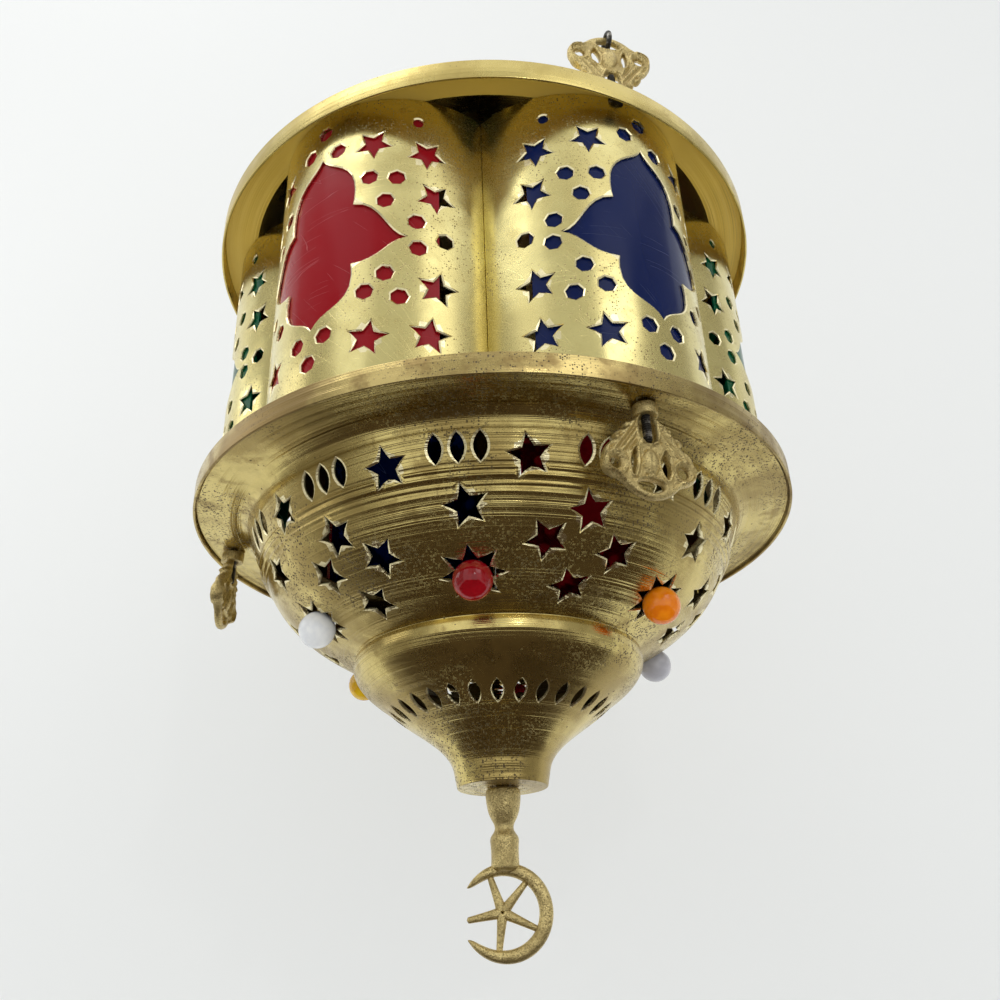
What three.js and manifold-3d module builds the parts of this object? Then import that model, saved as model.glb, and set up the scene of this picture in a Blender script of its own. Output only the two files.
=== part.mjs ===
// A pierced brass hanging lantern: a spun bowl and a lobed body of six pierced panels
// under a spun cap, hung by three cast lugs. Millimetres, +Z up. Heights are first measured
// from the lower edge of the base rim; the finished group is then lowered so that the
// origin lies on the axis, level with the three lug arches that the chains pull on.
import * as THREE from "three";
import { mergeVertices } from "three/addons/utils/BufferGeometryUtils.js";
import Module from "manifold-3d";

const wasm = await Module();
wasm.setup();

// Sheet brass and fits
const sheet = 1;
const gap = 0.3;
const boreGap = 0.3;
const mergeDistance = 0.0001;

// Facets
const roundSteps = 32;
const rimSteps = 36;
const middleSteps = 12;
const smallSteps = 8;
const curveSteps = 3;
const coarseSteps = 2;
const nutSides = 6;

// Base rim: a lip with an inner shelf that the panels stand on
const rimRadius = 125;
const rimLip = 8.3;
const shelfHeight = 2.8;
const shelfWidth = 33;
const shelfBore = rimRadius - shelfWidth;

// Lobed body: six part-cylinders with their folded seams back to back
const lobeCount = 6;
const lobeAzimuth = 30;
const lobeRadius = 50.9;
const lobeInset = 4.6;
const lobeOffset = rimRadius - lobeInset - lobeRadius;
const lobeSteps = 14;
const seamDepth = 5;
const panelHeight = 138.4;

// Pierced medallion of one panel, measured from its middle
const medallionRise = 2.7;
const medallionHalfWidth = 36.1;
const medallionSideDrop = 4.8;
const medallionTop = 42.7;
const medallionFoot = 40;
const notchAcross = 15.5;
const notchUp = 13.2;
const notchDown = 15.5;
const swellAcross = 17.5;
const swellUp = 25;
// Control points of its curves, from the tip and from the side point
const tipBend = [3, 8];
const swellBend = 4;
const sideBend = 0.25;
// Stars beside its corners: across, up and lean in degrees
const panelStarRadius = 7.6;
const panelStarPoints = 5;
const panelStarWaist = 0.44;
const cornerStars = [[45, 38, 36], [45, -49, 6]];
// Shares of the lobe radius between which a hole is cut
const cutterNear = 0.62;
const cutterFar = 1.5;
// Reach of a straight cutter to each side of a sheet
const cutterReach = 4;

// Colour sheets behind the panels, as wide as this many of a panel's facets
const colourThickness = 1;
const colourSteps = 10;
const colourFoot = 9;
const colourHeadroom = 7;

// Cap: lip, flat annulus and raised crown
const capOverhang = 2;
const capRadius = rimRadius + capOverhang;
const capLip = 9.8;
const capFlat = 14.5;
const crownRadius = capRadius - capFlat;
const crownShoulder = 8.5;
const crownShoulderRadius = crownRadius - crownShoulder;
const crownShoulderRise = 9;
const crownRise = 29;
const crownTopRadius = 17;

// Spun bowl: flange, pierced band, two turned ridges, belly, lower bulge and neck
const flangePlay = 0.9;
const flangeFall = 1.1;
const flangeRadius = rimRadius - sheet - flangePlay;
const flangeWidth = 21.2;
const bandRadius = flangeRadius - flangeWidth;
const bandCorner = 6.6;
const bandTaper = 4.9;
const bandFootRadius = bandRadius - bandTaper;
const bandHeight = 12.3;
const ridgeStand = 0.8;
const ridgePitch = 2.4;
const ridgeCount = 2;
const ridgeTaper = 2.8;
const bellyRadius = bandFootRadius - ridgeTaper;
const bellyHeight = 31.7;
const grooveRadius = 57.4;
const bulgeHeight = 18.5;
const bulgeFootRadius = 45;
const neckRadius = 18.6;
const throatHeight = 25;
const footRadius = 19.4;
const footHeight = 6.2;
// Shares across and down of the two control points of each bend
const cornerBend = [[0.6, 0], [1, 0.4]];
const bellyBend = [[0.17, 0.46], [0.5, 0.72]];
const bulgeBend = [[-0.26, 0.3], [0.4, 0.62]];
const throatBend = [[0.34, 0.34], [0.93, 0.62]];

// Pierced pattern of the bowl, all turned together a little from the lobes
const bowlTurn = -6;
const beadCount = 6;
const beadRadius = 7;
const beadStand = 3.4;
const beadHeight = -46.5;
const beadStarPoints = 8;
const beadStarReach = 5;
const beadSteps = 8;
const beadRows = 6;

// Cast lugs on the cap and cast pendants under the flange, from one pattern
const castCount = 3;
const castAzimuth = 27;
const lugInset = 8;
const lugRadius = capRadius - lugInset;
const pendantInset = 10.6;
const pendantRadius = rimRadius - pendantInset;
const lugTurns = [-14, 0, 0];
const pendantTurns = [-3, 0, 9];
const castThickness = 3.6;
const bossRadius = 5;
const bossHeight = 4.6;
const windowHalfWidth = 2.9;
const windowFoot = 15.2;
const eyeAcross = 13.7;
const eyeDown = 25;
const eyeHole = 3.2;
const eyeRim = 5.2;
const leafHalfWidth = 3.5;
const leafHalfHeight = 6.3;
const leafDown = 23;
const plateFoot = 29.4;
const archDown = 35.4;
const archRadius = 1.5;
const archHalfWidth = 9;
const archShoulder = 31.8;
const archSag = 0.9;
const archSides = 6;
const archSteps = 4;
const scroll = [[9, 11], [13, 13.4], [14, 16.8]];
const eyeFrom = 1.05;
const eyeTo = -1.75;
const slitHalfWidth = 5.2;
const openingAcross = 6.3;
const openingHalfWidth = 1.7;
const openingHalfHeight = 4.6;
const leafThickness = 6;

// Screws that hold the castings
const screwRadius = 2;
const screwHeadRadius = 3.5;
const screwHeadHeight = 2;
const screwReach = 14;
const headNotchPlay = 0.8;

// Wire rings on the lug arches
const ringWire = 1.1;
const ringBore = 2.6;
const ringSides = 5;
const ringSteps = 10;

// Cast finial under the bowl
const barrelRadius = 6.7;
const barrelHeight = 8.2;
const waistRadius = 3.75;
const waistDepth = 13.6;
const beadBarrelRadius = 5.2;
const beadBarrelTop = 17.6;
const beadBarrelFoot = 25;
const crescentRadius = 17;
const crescentInner = 13.2;
const crescentShift = 1;
const crescentOpening = 31;
const crescentTaper = 4;
const crescentThickness = 5;
const crescentBevel = 1.2;
const crescentDrop = 43.4;
const crescentSteps = 6;
const starArmCount = 5;
const starArmTurn = 186;
const starArmTip = 1.1;
const starHub = 3.3;
const starOverlap = 0.8;
const starThickness = 3.2;
const starBevel = 0.8;
const starShift = 1.6;
const studRadius = 2.5;
const studReach = 7;
const nutHeight = 3;
const nutRadius = 4.8;
const washerRadius = 7.5;
const washerThickness = 1;

// Lamp holder hung from the crown on a hollow threaded nipple
const nippleRadius = 5;
const nippleBore = 3.5;
const nippleStand = 8;
const lockNutRadius = 9;
const lockNutHeight = 3;
const holderRadius = 20;
const holderNeckRadius = 11;
const holderNeck = 9;
const holderShoulder = 9;
const holderHeight = 50;
const sleeveRadius = 14.6;
const sleeveHeight = 27;
const sleeveInset = 3;
const bushCollar = 1.5;
const bushBore = 2.2;
const bushPlug = 5;

// Heights that follow from the sizes above
const shelfTop = shelfHeight + sheet;
const panelFoot = shelfTop + gap;
const panelTop = panelFoot + panelHeight;
const capSeat = panelTop + gap;
const capTop = capSeat + sheet;
const capFoot = capTop - capLip;
const crownTop = capTop + crownRise;
const medallionHeight = panelFoot + panelHeight / 2 + medallionRise;
const flangeEdge = shelfHeight - gap - sheet;
const bandTop = flangeEdge - flangeFall - bandCorner;
const bandFoot = bandTop - bandHeight;
const bellyTop = bandFoot - 2 * ridgePitch;
const grooveHeight = bellyTop - bellyHeight;
const bulgeFoot = grooveHeight - bulgeHeight;
const throatFoot = bulgeFoot - throatHeight;
const bowlFoot = throatFoot - footHeight;
const hangHeight = capTop + gap + archDown;
const lockNutTop = crownTop - sheet - gap;
const holderTop = lockNutTop - lockNutHeight - gap;
const holderFoot = holderTop - holderHeight;
const sleeveFoot = holderFoot + sleeveInset;
const nippleTop = crownTop + nippleStand;
const nippleFoot = holderTop - holderNeck;

// Materials, with the colours of the object
const metal = (name, color, roughness) =>
  new THREE.MeshStandardMaterial({ name, color, roughness, metalness: 1 });
const spunBrass = metal("spun_brass", 0xb59a52, 0.34);
const panelBrass = metal("panel_brass", 0xcdbf7c, 0.3);
const castBrass = metal("cast_brass", 0xb99f60, 0.5);
const darkSteel = metal("dark_steel", 0x3b3936, 0.5);
const sleeveMetal = metal("sleeve_metal", 0xb8bbb8, 0.35);
const holderPlastic = new THREE.MeshStandardMaterial({ color: 0x1b1b1b, roughness: 0.45 });
const tint = (color) =>
  new THREE.MeshStandardMaterial({ color, roughness: 0.12, transparent: true, opacity: 0.6 });
const glaze = (color) => new THREE.MeshStandardMaterial({ color, roughness: 0.15 });
const sheetColours = [0x8e1c2a, 0x141f4e, 0x0f5b37].map(tint);
const sheetOrder = [1, 2, 0, 1, 2, 0];
const beadColours = [0xb5121c, 0xd97916, 0xb9bcc4, 0xb5121c, 0xc9a21a, 0xe2e4ea].map(glaze);

const degrees = THREE.MathUtils.degToRad;
const lantern = new THREE.Group();
lantern.position.z = -hangHeight;

function place(name, geometry, material, parent = lantern) {
  const mesh = new THREE.Mesh(geometry, material.clone());
  mesh.name = name;
  parent.add(mesh);
  return mesh;
}

// A frame turned about the axis, in which -Y points away from the axis at this azimuth.
function frameAt(azimuth, parent = lantern) {
  const frame = new THREE.Group();
  frame.rotation.z = degrees(azimuth);
  parent.add(frame);
  return frame;
}

// The merged closed mesh of a geometry, without collapsed triangles, as a solid.
function solidOf(geometry) {
  const bare = geometry.index ? geometry.toNonIndexed() : geometry.clone();
  bare.deleteAttribute("normal");
  bare.deleteAttribute("uv");
  const merged = mergeVertices(bare, mergeDistance);
  const corners = [];
  const index = merged.index.array;
  for (let i = 0; i < index.length; i += 3) {
    const [a, b, c] = [index[i], index[i + 1], index[i + 2]];
    if (a !== b && b !== c && c !== a) corners.push(a, b, c);
  }
  const mesh = new wasm.Mesh({
    numProp: 3,
    vertProperties: merged.attributes.position.array,
    triVerts: new Uint32Array(corners),
  });
  return new wasm.Manifold(mesh);
}

function geometryOf(solid) {
  const mesh = solid.getMesh();
  const geometry = new THREE.BufferGeometry();
  geometry.setAttribute("position", new THREE.BufferAttribute(mesh.vertProperties, 3));
  geometry.setIndex(new THREE.BufferAttribute(mesh.triVerts, 1));
  geometry.computeVertexNormals();
  return geometry;
}

function joined(geometries) {
  return geometryOf(geometries.map(solidOf).reduce((all, next) => all.add(next)));
}

function pierced(body, cutters) {
  const tool = cutters.map(solidOf).reduce((all, next) => all.add(next));
  return geometryOf(solidOf(body).subtract(tool));
}

// A profile of [radius, height] pairs, counterclockwise, spun about the Z axis.
function spun(profile, steps) {
  const points = profile.map(([radius, height]) => new THREE.Vector2(radius, height));
  return new THREE.LatheGeometry(points, steps).rotateX(Math.PI / 2);
}

// A ring of rectangular section, or a disc where the bore is nought.
function spunRing(bore, radius, foot, top, steps) {
  const profile = [[bore, foot], [radius, foot], [radius, top], [bore, top]];
  if (bore > 0) profile.push([bore, foot]);
  return spun(profile, steps);
}

// The line that lies one sheet thickness inside a profile run from its rim to its foot.
function insideLine(line, thickness) {
  return line.map((point, i) => {
    const before = line[Math.max(i - 1, 0)];
    const after = line[Math.min(i + 1, line.length - 1)];
    const along = new THREE.Vector2().subVectors(after, before).normalize();
    return new THREE.Vector2(point.x + along.y * thickness, point.y - along.x * thickness);
  });
}

function star(radius, points, waist, lean) {
  const outline = [];
  for (let i = 0; i < 2 * points; i++) {
    const angle = Math.PI / 2 + degrees(lean) + (i * Math.PI) / points;
    const reach = i % 2 ? radius * waist : radius;
    outline.push(new THREE.Vector2(reach * Math.cos(angle), reach * Math.sin(angle)));
  }
  return outline;
}

// Base rim
function baseRim() {
  const inside = rimRadius - sheet;
  const profile = [
    [inside, 0],
    [rimRadius, 0],
    [rimRadius, rimLip],
    [inside, rimLip],
    [inside, shelfTop],
    [shelfBore, shelfTop],
    [shelfBore, shelfHeight],
    [inside, shelfHeight],
    [inside, 0],
  ];
  const holes = screwHoles(pendantRadius, shelfHeight - sheet, shelfTop + sheet);
  return pierced(spun(profile, rimSteps), holes);
}

// Panels: the outer arc runs until it meets the plane between two lobes, where the sheet
// folds inwards along that plane.
const seamAngle = Math.PI / lobeCount;

function arcEnd(radius, fromPlane) {
  const centreToPlane = lobeOffset * Math.sin(seamAngle) - fromPlane;
  return Math.PI / 2 + seamAngle - Math.acos(centreToPlane / radius);
}

function lobePoint(radius, angle) {
  return new THREE.Vector2(radius * Math.sin(angle), -lobeOffset - radius * Math.cos(angle));
}

function panelEdge(radius, fromPlane) {
  const end = arcEnd(radius, fromPlane);
  const edge = [];
  for (let i = 0; i <= lobeSteps; i++) {
    edge.push(lobePoint(radius, end * ((2 * i) / lobeSteps - 1)));
  }
  const inward = new THREE.Vector2(-Math.sin(seamAngle), Math.cos(seamAngle));
  const last = edge[edge.length - 1];
  const tip = last.clone().addScaledVector(inward, seamDepth);
  return [new THREE.Vector2(-tip.x, tip.y), ...edge, tip];
}

function panelSheet() {
  const outer = panelEdge(lobeRadius, gap / 2);
  const inner = panelEdge(lobeRadius - sheet, gap / 2 + sheet);
  const shape = new THREE.Shape([...outer, ...inner.reverse()]);
  const settings = { depth: panelHeight, bevelEnabled: false };
  return new THREE.ExtrudeGeometry(shape, settings).translate(0, 0, panelFoot);
}

// A hole cutter for a panel: an outline in arc length and height, drawn out along lines
// that all leave the lobe's own axis.
function lobeCutter(outline) {
  const count = outline.length;
  const positions = [];
  for (const share of [cutterNear, cutterFar]) {
    for (const point of outline) {
      const flat = lobePoint(share * lobeRadius, point.x / lobeRadius);
      positions.push(flat.x, flat.y, point.y);
    }
  }
  const faces = THREE.ShapeUtils.triangulateShape(outline, []);
  const index = [];
  for (const [a, b, c] of faces) {
    index.push(a, c, b, a + count, b + count, c + count);
  }
  for (let i = 0; i < count; i++) {
    const next = (i + 1) % count;
    index.push(i, next, next + count, i, next + count, i + count);
  }
  const geometry = new THREE.BufferGeometry();
  geometry.setAttribute("position", new THREE.Float32BufferAttribute(positions, 3));
  geometry.setIndex(index);
  return geometry;
}

function moved(outline, across, up) {
  return outline.map((point) => new THREE.Vector2(point.x + across, point.y + up));
}

// One quarter of the medallion, from its tip through the notch to its side point.
function medallionQuarter(tip, notch, side) {
  const path = new THREE.Path();
  path.moveTo(0, tip);
  const [across, down] = tipBend;
  path.bezierCurveTo(across, tip - down, swellAcross, tip - swellBend, swellAcross, swellUp);
  path.lineTo(notchAcross, notch);
  const middle = (notchAcross + medallionHalfWidth) / 2;
  const bent = side + (notch - side) * sideBend;
  path.bezierCurveTo(middle, notch, middle, bent, medallionHalfWidth, side);
  return path.getPoints(curveSteps);
}

function medallion() {
  const upper = medallionQuarter(medallionTop, notchUp, -medallionSideDrop);
  const lower = medallionQuarter(medallionFoot, notchDown, medallionSideDrop);
  const flip = (points, x, y) => points.map((p) => new THREE.Vector2(p.x * x, p.y * y));
  const clockwise = [
    ...upper.slice(0, -1),
    ...flip(lower, 1, -1).reverse().slice(0, -1),
    ...flip(lower, -1, -1).slice(0, -1),
    ...flip(upper, -1, 1).reverse().slice(0, -1),
  ];
  return clockwise.reverse();
}

// A straight prism through a sheet, round its origin and along +Z.
function punch(outline) {
  const settings = { depth: 2 * cutterReach, bevelEnabled: false };
  return new THREE.ExtrudeGeometry(new THREE.Shape(outline), settings).translate(0, 0, -cutterReach);
}

function lobePunch(outline, across, height) {
  return punch(outline)
    .translate(0, 0, lobeRadius)
    .rotateX(Math.PI / 2)
    .rotateZ(across / lobeRadius)
    .translate(0, -lobeOffset, height);
}

function panelHoles() {
  const holes = [lobeCutter(moved(medallion(), 0, medallionHeight))];
  for (const [across, up, lean] of cornerStars) {
    for (const side of [-1, 1]) {
      const outline = star(panelStarRadius, panelStarPoints, panelStarWaist, -side * lean);
      holes.push(lobePunch(outline, side * across, medallionHeight + up));
    }
  }
  return holes;
}

// The screw head under a lug stands in a round notch in the top edge of its panel.
function headNotch() {
  const radius = screwHeadRadius + headNotchPlay;
  const depth = screwHeadHeight + headNotchPlay;
  const notch = spunRing(0, radius, panelTop - depth, panelTop + sheet, smallSteps);
  const turn = degrees(castAzimuth - lobeAzimuth);
  return notch.translate(lugRadius * Math.sin(turn), -lugRadius * Math.cos(turn), 0);
}

function lobePanel(carriesLug) {
  const holes = panelHoles();
  if (carriesLug) holes.push(headNotch());
  return pierced(panelSheet(), holes);
}

function colourSheet() {
  const outerRadius = lobeRadius - sheet - gap;
  const halfAngle = (arcEnd(lobeRadius - sheet, gap / 2 + sheet) * colourSteps) / lobeSteps;
  const arc = (radius) => {
    const points = [];
    for (let i = 0; i <= colourSteps; i++) {
      points.push(lobePoint(radius, halfAngle * ((2 * i) / colourSteps - 1)));
    }
    return points;
  };
  const inner = arc(outerRadius - colourThickness).reverse();
  const shape = new THREE.Shape([...arc(outerRadius), ...inner]);
  const depth = panelHeight - colourFoot - colourHeadroom;
  const settings = { depth, bevelEnabled: false };
  return new THREE.ExtrudeGeometry(shape, settings).translate(0, 0, panelFoot + colourFoot);
}

// Cap
function capLine() {
  const path = new THREE.Path();
  path.moveTo(crownTopRadius, crownTop);
  path.quadraticCurveTo(
    (crownShoulderRadius + crownTopRadius) / 2,
    crownTop,
    crownShoulderRadius,
    capTop + crownShoulderRise,
  );
  path.quadraticCurveTo(crownRadius, capTop + crownShoulderRise / 2, crownRadius, capTop);
  return path.getPoints(coarseSteps);
}

function topCap() {
  const outside = capLine();
  const inside = insideLine(outside, sheet).slice(0, -1);
  const hole = nippleRadius + boreGap;
  const corners = [
    [crownRadius - sheet, capSeat],
    [capRadius - sheet, capSeat],
    [capRadius - sheet, capFoot],
    [capRadius, capFoot],
    [capRadius, capTop],
  ];
  const profile = [
    [hole, crownTop - sheet],
    ...inside.map((point) => [point.x, point.y]),
    ...corners,
    ...outside.map((point) => [point.x, point.y]).reverse(),
    [hole, crownTop],
    [hole, crownTop - sheet],
  ];
  return pierced(spun(profile, roundSteps), screwHoles(lugRadius, capSeat - sheet, capTop + sheet));
}

// The places of the three castings on a circle.
function castSpots(radius) {
  return [...Array(castCount).keys()].map((k) => {
    const azimuth = degrees(castAzimuth + (k * 360) / castCount);
    return [radius * Math.sin(azimuth), -radius * Math.cos(azimuth)];
  });
}

// Bowl: the two turned ridges between the band and the belly.
function ridgeLine() {
  const line = [];
  for (let i = 0; i < ridgeCount; i++) {
    const crest = THREE.MathUtils.lerp(bandFootRadius, bellyRadius, (i + 0.5) / ridgeCount);
    const valley = THREE.MathUtils.lerp(bandFootRadius, bellyRadius, (i + 1) / ridgeCount);
    line.push([crest + ridgeStand, bandFoot - (i + 0.5) * ridgePitch]);
    line.push([valley, bandFoot - (i + 1) * ridgePitch]);
  }
  return line;
}

// The points of a cubic bend between two [radius, height] points, without the first. Each
// control point is given by its shares of the way across and down.
function bend(from, to, controls, steps) {
  const [first, second] = controls.map(
    ([across, down]) =>
      new THREE.Vector2(
        THREE.MathUtils.lerp(from[0], to[0], across),
        THREE.MathUtils.lerp(from[1], to[1], down),
      ),
  );
  const start = new THREE.Vector2(...from);
  const curve = new THREE.CubicBezierCurve(start, first, second, new THREE.Vector2(...to));
  return curve.getPoints(steps).slice(1).map((point) => point.toArray());
}

// The outer line of the spun sheet, from the edge of its flange to its foot.
function bowlLine(withRidges) {
  const flangeFoot = flangeEdge - flangeFall;
  const belly = [bellyRadius, bellyTop];
  const groove = [grooveRadius, grooveHeight];
  const bulge = [bulgeFootRadius, bulgeFoot];
  const throat = [neckRadius, throatFoot];
  const corner = [bandRadius + bandCorner, flangeFoot];
  const line = [
    [flangeRadius, flangeEdge],
    corner,
    ...bend(corner, [bandRadius, bandTop], cornerBend, coarseSteps),
    [bandFootRadius, bandFoot],
    ...(withRidges ? ridgeLine() : [belly]),
    ...bend(belly, groove, bellyBend, curveSteps),
    ...bend(groove, bulge, bulgeBend, curveSteps),
    ...bend(bulge, throat, throatBend, coarseSteps),
    [footRadius, bowlFoot],
  ];
  return line.map((point) => new THREE.Vector2(...point));
}

const bowlOutside = bowlLine(true);

// Where the bowl's outer surface lies at a height, and how far it leans from upright.
function bowlAt(height) {
  const i = bowlOutside.findIndex((point) => point.y <= height);
  const [above, below] = [bowlOutside[i - 1], bowlOutside[i]];
  const share = (above.y - height) / (above.y - below.y);
  const radius = THREE.MathUtils.lerp(above.x, below.x, share);
  return { radius, lean: Math.atan2(above.x - below.x, above.y - below.y) };
}

// Moves a geometry drawn round its origin, facing +Z with +Y up, onto the bowl.
function onBowl(geometry, azimuth, height, stand = 0) {
  const { radius, lean } = bowlAt(height);
  return geometry
    .translate(0, 0, stand)
    .rotateX(Math.PI / 2 + lean)
    .translate(0, -radius, height)
    .rotateZ(degrees(azimuth));
}

// The bead rests on the inner corners of its eight-pointed hole.
function beadStar() {
  const seat = Math.sqrt(beadRadius ** 2 - beadStand ** 2) + gap;
  const reach = seat + beadStarReach;
  return star(reach, beadStarPoints, seat / reach, 0);
}

function beadAzimuth(k) {
  return bowlTurn + (k * 360) / beadCount;
}

function bowlHoles() {
  const holes = [];
  for (let k = 0; k < beadCount; k++) {
    holes.push(onBowl(punch(beadStar()), beadAzimuth(k), beadHeight));
  }
  return holes;
}

function screwHoles(radius, foot, top) {
  return castSpots(radius).map(([x, y]) =>
    spunRing(0, screwRadius + boreGap, foot, top, smallSteps).translate(x, y, 0),
  );
}

function lowerBowl() {
  const inside = insideLine(bowlLine(false), sheet).slice(1, -1);
  const hole = studRadius + boreGap;
  const profile = [
    new THREE.Vector2(hole, bowlFoot),
    ...[...bowlOutside].reverse(),
    new THREE.Vector2(flangeRadius, flangeEdge + sheet),
    ...inside,
    new THREE.Vector2(footRadius - sheet, bowlFoot + sheet),
    new THREE.Vector2(hole, bowlFoot + sheet),
    new THREE.Vector2(hole, bowlFoot),
  ];
  const shell = spun(profile.map((point) => [point.x, point.y]), roundSteps);
  const holes = screwHoles(pendantRadius, flangeEdge - 2 * sheet, flangeEdge + 2 * sheet);
  return pierced(shell, [...bowlHoles(), ...holes]);
}

function glassBead(k) {
  const ball = new THREE.SphereGeometry(beadRadius, beadSteps, beadRows).rotateX(Math.PI / 2);
  return onBowl(ball, beadAzimuth(k), beadHeight, beadStand);
}

// Castings: one pattern, drawn hanging down from the top of its boss, X across and Z up.
function castEdge() {
  const path = new THREE.Path();
  path.moveTo(bossRadius, 0);
  path.lineTo(bossRadius, -bossHeight);
  path.quadraticCurveTo(bossRadius, -scroll[0][1], scroll[0][0], -scroll[0][1]);
  for (const [across, down] of scroll.slice(1)) path.lineTo(across, -down);
  path.absarc(eyeAcross, -eyeDown, eyeRim, eyeFrom, eyeTo, true);
  path.lineTo(archHalfWidth, -archShoulder - archRadius);
  path.lineTo(slitHalfWidth, -plateFoot);
  return path.getPoints(coarseSteps);
}

function ellipse(across, down, halfWidth, halfHeight) {
  const path = new THREE.Path();
  path.absellipse(across, -down, halfWidth, halfHeight, 0, Math.PI * 2, true);
  return path;
}

function castShape() {
  const right = castEdge();
  const left = right.map((point) => new THREE.Vector2(-point.x, point.y));
  const shape = new THREE.Shape([...left, ...right.reverse()]);
  const window = screwWindow();
  shape.holes.push(new THREE.Path(window));
  for (const side of [-1, 1]) {
    shape.holes.push(ellipse(side * eyeAcross, eyeDown, eyeHole, eyeHole));
    shape.holes.push(ellipse(side * openingAcross, leafDown, openingHalfWidth, openingHalfHeight));
  }
  return shape;
}

// The tall six-sided window in which the end of the screw shows.
function screwWindow() {
  const [top, foot] = [bossHeight, windowFoot];
  const slope = windowHalfWidth / 2;
  const right = [
    [slope, top],
    [windowHalfWidth, top + slope],
    [windowHalfWidth, foot - slope],
    [slope, foot],
  ];
  const left = right.map(([x, down]) => [-x, down]).reverse();
  return [...right, ...left].map(([x, down]) => new THREE.Vector2(x, -down));
}

function archBar() {
  const middle = archDown;
  const stations = [
    [-archHalfWidth, archShoulder],
    [-archHalfWidth / 2, middle - archSag],
    [0, middle],
    [archHalfWidth / 2, middle - archSag],
    [archHalfWidth, archShoulder],
  ];
  const points = stations.map(([x, down]) => new THREE.Vector3(x, 0, -down));
  return tube(new THREE.CatmullRomCurve3(points), archRadius, archSides, archSteps);
}

function tube(curve, radius, sides, steps) {
  const section = [];
  for (let i = 0; i < sides; i++) {
    const angle = (2 * Math.PI * (i + 0.5)) / sides;
    section.push(new THREE.Vector2(radius * Math.cos(angle), radius * Math.sin(angle)));
  }
  const settings = { steps, extrudePath: curve, bevelEnabled: false };
  return new THREE.ExtrudeGeometry(new THREE.Shape(section), settings);
}

const casting = makeCasting();

function makeCasting() {
  const settings = { depth: castThickness, bevelEnabled: false, curveSegments: curveSteps };
  const plate = new THREE.ExtrudeGeometry(castShape(), settings)
    .translate(0, 0, -castThickness / 2)
    .rotateX(Math.PI / 2);
  const boss = spunRing(0, bossRadius, -bossHeight, 0, smallSteps);
  const leaf = new THREE.OctahedronGeometry(1)
    .scale(leafHalfWidth, leafThickness / 2, leafHalfHeight)
    .translate(0, 0, -leafDown);
  const body = joined([plate, boss, leaf, archBar()]);
  const bore = spunRing(0, screwRadius + boreGap, -bossHeight - sheet, sheet, smallSteps);
  return pierced(body, [bore]);
}

// The height of the flange's underside at a radius on its nearly flat part.
function flangeAt(radius) {
  const run = flangeRadius - bandRadius - bandCorner;
  return flangeEdge - (flangeFall * (flangeRadius - radius)) / run;
}

// A screw on the axis, from its tip to the seat of its head.
function screw(tip, seat) {
  const side = Math.sign(seat - tip);
  const crown = seat + side * screwHeadHeight;
  const shank = [[0, tip], [screwRadius, tip], [screwRadius, seat]];
  const profile = [...shank, [screwHeadRadius, seat], [screwHeadRadius, crown], [0, crown]];
  return spun(side > 0 ? profile : profile.reverse(), smallSteps);
}

function chainRing() {
  const hang = ringBore - archRadius - gap;
  return new THREE.TorusGeometry(ringBore + ringWire, ringWire, ringSides, ringSteps)
    .rotateY(Math.PI / 2)
    .translate(0, 0, archDown - hang);
}

// Finial: a turned baluster that carries a crescent with a star cast into it.
function crescent() {
  const opening = degrees(crescentOpening);
  const taper = degrees(crescentTaper);
  const shape = new THREE.Shape();
  shape.absarc(0, 0, crescentRadius, Math.PI - opening, opening - Math.PI, true);
  const end = opening + taper - Math.PI;
  shape.absarc(-crescentShift, 0, crescentInner, end, -end, false);
  return uprightPlate(shape, crescentThickness, crescentBevel, crescentSteps);
}

function finialStar() {
  const reach = crescentInner + starOverlap;
  const outline = [];
  for (let i = 0; i < starArmCount; i++) {
    const along = degrees(starArmTurn + (i * 360) / starArmCount);
    const valley = along + Math.PI / starArmCount;
    const tip = new THREE.Vector2(Math.cos(along), Math.sin(along)).multiplyScalar(reach);
    const side = new THREE.Vector2(-Math.sin(along), Math.cos(along));
    outline.push(tip.clone().addScaledVector(side, -starArmTip));
    outline.push(tip.clone().addScaledVector(side, starArmTip));
    outline.push(new THREE.Vector2(Math.cos(valley), Math.sin(valley)).multiplyScalar(starHub));
  }
  const shape = new THREE.Shape(outline);
  return uprightPlate(shape, starThickness, starBevel, coarseSteps).translate(-starShift, 0, 0);
}

// A flat casting with bevelled edges, stood upright so that it faces along Y.
function uprightPlate(shape, thickness, bevel, steps) {
  const settings = {
    depth: thickness - 2 * bevel,
    bevelThickness: bevel,
    bevelSize: bevel,
    bevelOffset: -bevel,
    bevelSegments: 1,
    curveSegments: steps,
  };
  return new THREE.ExtrudeGeometry(shape, settings)
    .translate(0, 0, bevel - thickness / 2)
    .rotateX(Math.PI / 2);
}

function finial() {
  const root = crescentDrop - crescentInner - crescentShift;
  const baluster = spun(
    [
      [0, -root],
      [waistRadius, -root],
      [beadBarrelRadius, -beadBarrelFoot],
      [beadBarrelRadius, -beadBarrelTop],
      [waistRadius, -waistDepth],
      [barrelRadius, -barrelHeight],
      [barrelRadius, 0],
      [studRadius, 0],
      [studRadius, gap + sheet + studReach],
      [0, gap + sheet + studReach],
    ],
    smallSteps,
  );
  const flat = [crescent(), finialStar()].map((plate) => plate.translate(0, 0, -crescentDrop));
  return joined([baluster, ...flat]).translate(0, 0, bowlFoot - gap);
}

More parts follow.
